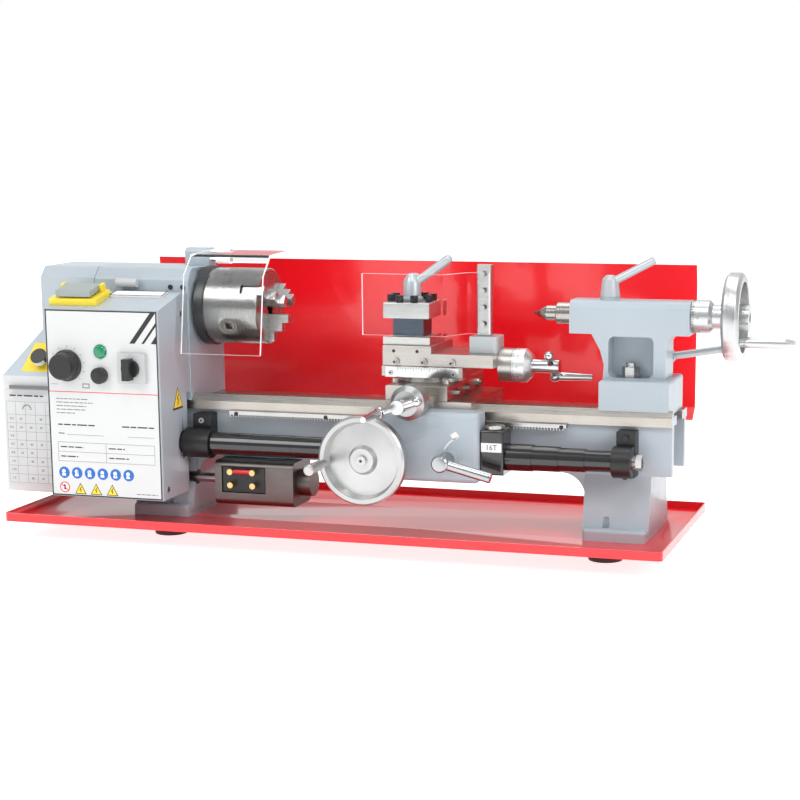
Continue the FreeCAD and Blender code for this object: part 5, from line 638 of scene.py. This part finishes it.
def print_chart():
    """The gear chart on the cover: a ruled table of gears and pitches."""
    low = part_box("gear_cover")[0]
    left, right = low.x + 0.006, -0.3445
    rng = random.Random(7)
    sheet = Print("chart_print", low.y, "root", "white_panel")
    for z in [0.153, 0.140] + [0.126 - 0.0092 * row for row in range(9)]:
        sheet.bar(GREY_INK, left, right, z - 0.00015, z + 0.00015)
    columns = [left, left + 0.0105, left + 0.022, left + 0.034, left + 0.046, right]
    for x in columns:
        sheet.bar(GREY_INK, x - 0.00015, x + 0.00015, 0.0524, 0.140)
    sheet.words(BLACK_INK_AND_HOLE_SHADE, left + 0.004, 0.1465, 0.040, 0.0028, rng)
    sheet.bar(GREY_INK, left + 0.004, right - 0.003, 0.1535, 0.1575)
    for turn in range(9):
        angle = math.radians(20 * turn + 10)
        sheet.spot(BLACK_INK_AND_HOLE_SHADE, left + 0.024 + 0.005 * math.cos(angle), 0.1315 + 0.005 * math.sin(angle),
                   0.0007)
    pitches = ("0.4", "0.5", "0.6", "0.7", "0.8", "1.0", "1.25", "1.5")
    for row, pitch in enumerate(pitches):
        z = 0.1214 - 0.0092 * row
        sheet.number(BLACK_INK_AND_HOLE_SHADE, pitch, (columns[0] + columns[1]) / 2, z, 0.0036)
        for column in (1, 2, 3):
            if rng.random() < 0.55:
                sheet.number(BLACK_INK_AND_HOLE_SHADE, str(rng.choice((20, 30, 35, 40, 45, 50, 60, 80))),
                             (columns[column] + columns[column + 1]) / 2, z, 0.0034)
    sheet.done()
    label = bmesh.new()
    up, out = Vector((0, 0.033, 0.047)), Vector((0, -0.818, 0.575)) * 0.00025
    foot = Vector((0, -0.077, 0.167))
    corners = [foot + up * share + Vector((x, 0, 0)) for x, share in
               ((-0.3955, 0.10), (-0.3500, 0.10), (-0.3500, 0.70), (-0.3880, 0.70))]
    flat_outline(label, corners, (0, 0, 0), out)
    to_piece("cover_label", label, YELLOW_INK, "root")


def side_warning():
    """The warning triangle on the control box's right-hand side."""
    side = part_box("control_box")[1].x
    for name, ink, grow, layer in (("outer", BLACK_INK_AND_HOLE_SHADE, 1.0, 1), ("inner", YELLOW_INK, 0.82, 2)):
        shape = bmesh.new()
        half, rise = 0.0125 * grow, 0.0235 * grow
        flat_outline(shape, [(side, -0.074 - half, 0.1495 - rise / 2),
                             (side, -0.074 + half, 0.1495 - rise / 2),
                             (side, -0.074, 0.1495 + rise / 2)], (0, 0, 0), (0.0001 * layer, 0, 0))
        to_piece("side_warning_" + name, shape, ink, "root")
    bolt = bmesh.new()
    for start, end in (((-0.0725, 0.1535), (-0.0755, 0.1490)), ((-0.0755, 0.1492), (-0.0725, 0.1478)),
                       ((-0.0725, 0.1480), (-0.0750, 0.1425))):
        along = (Vector(end) - Vector(start)).normalized() * 0.0006
        flat_outline(bolt, [(side, start[0] - along.y, start[1] + along.x),
                            (side, end[0] - along.y, end[1] + along.x),
                            (side, end[0] + along.y, end[1] - along.x),
                            (side, start[0] + along.y, start[1] - along.x)], (0, 0, 0), (0.0003, 0, 0))
    to_piece("side_warning_bolt", bolt, BLACK_INK_AND_HOLE_SHADE, "root")


print_panel()
print_chart()
side_warning()


# ---------------------------------------------------------------- graduations and small hardware
def ring_marks(name, axis, centre, radius, low, high, count, body, digits=0, spread_from=0,
               spread_to=360):
    """Engraved marks round a dial, every fifth one longer, and numbers at even places."""
    shape = bmesh.new()
    index = "xyz".index(axis)
    others = [place for place in range(3) if place != index]
    for mark in range(count):
        turn = math.radians(spread_from + (spread_to - spread_from) * mark / count)
        reach = high if mark % 5 else high + (high - low) * 0.7
        block = slab(shape, (low, -0.00018, -0.00012), (reach, 0.00018, 0.00012))
        aim = Vector((0, 0, 0))
        aim[others[0]], aim[others[1]] = math.cos(turn), math.sin(turn)
        side = Vector((0, 0, 0))
        side[others[0]], side[others[1]] = -math.sin(turn), math.cos(turn)
        along = Vector((0, 0, 0))
        along[index] = 1
        spin = Matrix((along, side, aim)).transposed().to_4x4()
        bmesh.ops.transform(shape, matrix=Matrix.Translation(Vector(centre) + aim * radius) @ spin,
                            verts=block)
    for digit in range(digits):
        turn = math.radians(360 * digit / digits)
        aim = Vector((0, 0, 0))
        aim[others[0]], aim[others[1]] = math.cos(turn), math.sin(turn)
        along = Vector((0, 0, 0))
        along[index] = 1
        side = aim.cross(along)
        spin = Matrix((side, -along if axis == "x" else along, aim)).transposed().to_4x4()
        spot = Vector(centre) + aim * (radius - 0.00004) + along * (high + (high - low) * 1.6)
        if spin.determinant() < 0:
            spin = Matrix((-side, along, aim)).transposed().to_4x4()
        lettering(shape, str(digit * 10), 0.0026, Matrix.Translation(spot) @ spin, 0.0001)
    to_piece(name, shape, BLACK_INK_AND_HOLE_SHADE, body)


ring_marks("cross_dial_marks", "y", (0.048, 0, 0.158), 0.0175, -0.0882, -0.0858, 50, "cross_crank",
           0)
ring_marks("compound_dial_marks", "x", (0, -0.005, 0.1865), 0.0173, 0.1316, 0.1338, 50, "compound_crank",
           10)
ring_marks("tail_dial_marks", "x", (0, 0, SPINDLE_Z), 0.0163, 0.3125, 0.3150, 60, "tail_wheel",
           6)
ring_marks("swivel_marks", "z", (0.042, 0, 0), 0.0370, 0.1722, 0.1748, 45, "compound", 0,
           -135, -45)


SCREW_AT = (-0.062, 0.1015)
BOSS_RADIUS = 0.0158
PLATE_FRONT, PLATE_BACK = -0.0560, -0.0384
PLATE_LOW, PLATE_HIGH = 0.0846, 0.1308


def bracket(name, plate_from, plate_to, boss_from, boss_to):
    """A leadscrew bracket: a bolted plate on the bed with a round bearing boss in front of it."""
    shape = bmesh.new()
    slab(shape, (plate_from, PLATE_FRONT, PLATE_LOW), (plate_to, PLATE_BACK, PLATE_HIGH))
    to_piece(name + "_plate", shape, BLACK_ENAMEL, "root", 0.0012)
    shape = bmesh.new()
    disc(shape, ((boss_from + boss_to) / 2, SCREW_AT[0], SCREW_AT[1]), BOSS_RADIUS,
         boss_to - boss_from, "x")
    to_piece(name + "_boss", shape, BLACK_ENAMEL, "root", 0.0010, 3)


bracket("left_bracket", -0.2060, -0.1850, -0.2098, -0.1802)
bracket("right_bracket", 0.2475, 0.2668, 0.2462, 0.2660)


def sockets(name, body, slot_name, axis, places, radius, proud=0.0, out=-1, head=None, dress=BLACKED):
    """Screws and holes seen end-on: an optional round head with a black hexagon in it, painted shade standing
    for the hollow of each socket and hole.
    """
    heads, hollow_shade = bmesh.new(), bmesh.new()
    index = "xyz".index(axis)
    for place in places:
        centre = Vector(place)
        if head:
            centre[index] += out * proud / 2
            disc(heads, centre, head, proud, axis, sides=32)
            centre[index] += out * proud / 2
        disc(hollow_shade, centre, radius, 0.0003, axis, sides=6)
    if head:
        to_piece(name + "_heads", heads, dress, body, 0.0003)
    else:
        heads.free()
    to_piece(name + "_hollows", hollow_shade, BLACK_INK_AND_HOLE_SHADE, body)


def scale_plate():
    """The polished plate on the compound's front, with its marks; its two screws are added after it."""
    shape = bmesh.new()
    slab(shape, (0.003, -0.0384, 0.1746), (0.081, -0.0379, 0.1850))
    to_piece("compound_scale_plate", shape, CHROME, "compound")
    marks = bmesh.new()
    for mark in range(31):
        tall = 0.0036 if mark % 5 == 0 else 0.0020
        x = 0.016 + 0.0017 * mark
        slab(marks, (x, -0.0385, 0.1850 - tall), (x + 0.0003, -0.0384, 0.1850))
    to_piece("compound_scale_marks", marks, BLACK_INK_AND_HOLE_SHADE, "compound")


scale_plate()
sockets("compound_scale_screw", "compound", "ground_iron", "y",
        [(x, -0.0384, 0.1790) for x in (0.0085, 0.0755)],
        0.0012, 0.0010, -1, 0.0026, STEEL)
sockets("top_slide_gib", "top_slide", "ground_iron", "y",
        [(0.014 + 0.030 * number, -0.0432, 0.1906) for number in range(3)], 0.0014)
sockets("top_slide_holes", "top_slide", "ground_iron", "y", [(x, -0.0380, 0.2012) for x in (0.012, 0.037)],
        0.0019)
sockets("swivel_screw", "cross_slide", "ground_iron", "z", [(x, -0.042, 0.1740) for x in (0.015, 0.069)],
        0.0019)
sockets("cross_gib", "cross_slide", "ground_iron", "x",
        [(0.0805, -0.030 + 0.038 * number, 0.160) for number in range(3)], 0.0011, out=1)
sockets("bracket_screw", "root", "black_paint", "y", [(0.257, -0.0560, z) for z in (0.1240, 0.0868)],
        0.0016, 0.0020, -1, 0.0036, BLACKED)
sockets("left_bracket_screw", "root", "black_paint", "y", [(-0.1955, -0.0560, 0.1240)],
        0.0013, 0.0018, -1, 0.0030, STEEL)
sockets("headstock_screw", "root", "grey_paint", "y", [(-0.218, -0.0440, 0.2620), (-0.232, -0.0440, 0.2620)],
        0.0013, 0.0014, -1, 0.0026, BLACKED)
sockets("bed_end_screw", "root", "grey_paint", "y", [(x, -0.0470, 0.1310) for x in (-0.16, -0.06, 0.19)],
        0.0012, 0.0006, -1, 0.0022, BLACKED)
sockets("wheel_screw", "carriage_wheel", "aluminium", "y", [(0.0057, -0.1225, 0.1015)], 0.0016, 0.0024, -1,
        0.0052, STEEL)
sockets("box_screw", "root", "grey_paint", "x", [(-0.2136, -0.104, 0.058), (-0.2136, -0.062, 0.236)], 0.0012,
        0.0009, 1, 0.0030, STEEL)


def tag():
    """The white tag on the threading dial's housing, and the lever's sign on the apron."""
    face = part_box("thread_dial_housing")[0].y
    sheet = Print("gear_tag", face, "carriage", "black_gloss")
    sheet.bar(WHITE_INK, 0.1165, 0.1375, 0.1085, 0.1175)
    sheet.number(BLACK_INK_AND_HOLE_SHADE, "16T", 0.1270, 0.1129, 0.0075, 2)
    sheet.done()
    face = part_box("apron")[0].y + 0.013
    sign = Print("apron_sign", face, "carriage", "grey_paint")
    points = [(0.1045 - 0.022 * math.cos(math.radians(turn)) - 0.0045,
               0.0885 + 0.028 * math.sin(math.radians(turn)))
              for turn in range(100, 190, 12)]
    for start, end in zip(points, points[1:]):
        sign.stroke(WHITE_INK, (0.198 - start[0], start[1] + 0.006), (0.198 - end[0], end[1] + 0.006),
                    0.0016)
    sign.shape(WHITE_INK, [(0.086, 0.1250), (0.092, 0.1285), (0.096, 0.1235), (0.0895, 0.1200)])
    sign.done()


tag()


def display_frame():
    """The dark edge and ruled lines of the plate on the box's sloping top."""
    shape = bmesh.new()
    slope = math.atan2(13.1, 54.5)
    x0, x1 = -0.2866, -0.2270
    tilt = Matrix.Rotation(slope, 4, "X")
    origin = Vector((0, -0.0760, 0.2439 + 0.0131 * (0.1145 - 0.0760) / 0.0545))
    for lo, hi in (((x0, 0, 0.0021), (x1, 0.0008, 0.0024)), ((x0, 0.0150, 0.0021), (x1, 0.0158, 0.0024)),
                   ((x0, 0, 0.0021), (x0 + 0.0008, 0.0158, 0.0024)),
                   ((x1 - 0.0008, 0, 0.0021), (x1, 0.0158, 0.0024))):
        block = slab(shape, lo, hi)
        bmesh.ops.transform(shape, matrix=Matrix.Translation(origin) @ tilt, verts=block)
    to_piece("display_frame", shape, BLACK_INK_AND_HOLE_SHADE, "root")


display_frame()


# ---------------------------------------------------------------- stage, light and camera
def floor_and_light():
    ground_mesh = bmesh.new()
    bmesh.ops.create_grid(ground_mesh, x_segments=1, y_segments=1, size=12)
    mesh = bpy.data.meshes.new("floor")
    ground_mesh.to_mesh(mesh)
    ground_mesh.free()
    floor = bpy.data.objects.new("floor", mesh)
    bpy.context.scene.collection.objects.link(floor)
    pale = finish("pale_floor", (0.80, 0.80, 0.80), 0.6, Emission_Strength=0.78)
    pale.node_tree.nodes["Principled BSDF"].inputs["Emission Color"].default_value = (1, 1, 1, 1)
    mesh.materials.append(pale)
    world = bpy.data.worlds.new("studio")
    bpy.context.scene.world = world
    world.use_nodes = True
    links, nodes = world.node_tree.links, world.node_tree.nodes
    room = nodes["Background"]
    room.inputs["Color"].default_value = (0.46, 0.47, 0.48, 1)
    backdrop = nodes.new("ShaderNodeBackground")
    backdrop.inputs["Color"].default_value = (0.95, 0.95, 0.95, 1)
    parts = nodes.new("ShaderNodeSeparateXYZ")
    links.new(nodes.new("ShaderNodeTexCoord").outputs["Generated"], parts.inputs[0])
    behind = nodes.new("ShaderNodeMapRange")
    behind.inputs["From Min"].default_value = 0.15
    behind.inputs["From Max"].default_value = 0.65
    links.new(parts.outputs["Y"], behind.inputs["Value"])
    around = nodes.new("ShaderNodeMixShader")
    links.new(behind.outputs[0], around.inputs["Fac"])
    links.new(room.outputs[0], around.inputs[1])
    links.new(backdrop.outputs[0], around.inputs[2])
    paper = nodes.new("ShaderNodeBackground")
    paper.inputs["Color"].default_value = (1, 1, 1, 1)
    chosen = nodes.new("ShaderNodeMixShader")
    links.new(nodes.new("ShaderNodeLightPath").outputs["Is Camera Ray"], chosen.inputs["Fac"])
    links.new(around.outputs[0], chosen.inputs[1])
    links.new(paper.outputs[0], chosen.inputs[2])
    links.new(chosen.outputs[0], nodes["World Output"].inputs["Surface"])
    for name, spot_at, aim, wide, power in (
            ("key_left", (-1.5, -1.9, 2.2), (-0.1, 0, 0.15), 1.5, 33),
            ("fill_right", (2.1, -1.3, 1.4), (0.1, 0, 0.15), 1.2, 19),
            ("top", (0.1, 0.5, 2.3), (0, 0, 0.1), 1.6, 17),
            ("strip", (0.35, -1.2, 1.75), (0, -0.06, 0.1), 0.5, 9)):
        lamp = bpy.data.lights.new(name, "AREA")
        lamp.size = wide
        lamp.energy = power
        holder = bpy.data.objects.new(name, lamp)
        bpy.context.scene.collection.objects.link(holder)
        holder.location = spot_at
        holder.rotation_euler = (Vector(aim) - Vector(spot_at)).to_track_quat("-Z", "Y").to_euler()


def camera():
    """The view: from the front and to the right, a little above the bed."""
    lens = bpy.data.cameras.new("view")
    lens.lens = 84.54
    lens.sensor_width = 36
    lens.shift_x = -0.0599
    lens.shift_y = 0.1009
    lens.clip_start = 0.05
    lens.clip_end = 60
    eye = bpy.data.objects.new("view", lens)
    bpy.context.scene.collection.objects.link(eye)
    turn, drop, roll = (math.radians(angle) for angle in (17.14, 10.66, -0.32))
    ahead = Vector((-math.sin(turn) * math.cos(drop), math.cos(turn) * math.cos(drop), -math.sin(drop)))
    facing = ahead.to_track_quat("-Z", "Y").to_matrix().to_4x4() @ Matrix.Rotation(roll, 4, "Z")
    eye.matrix_world = Matrix.Translation((0.6258, -1.8432, 0.4250)) @ facing
    bpy.context.scene.camera = eye


floor_and_light()
camera()
bpy.context.scene.view_settings.view_transform = "Standard"
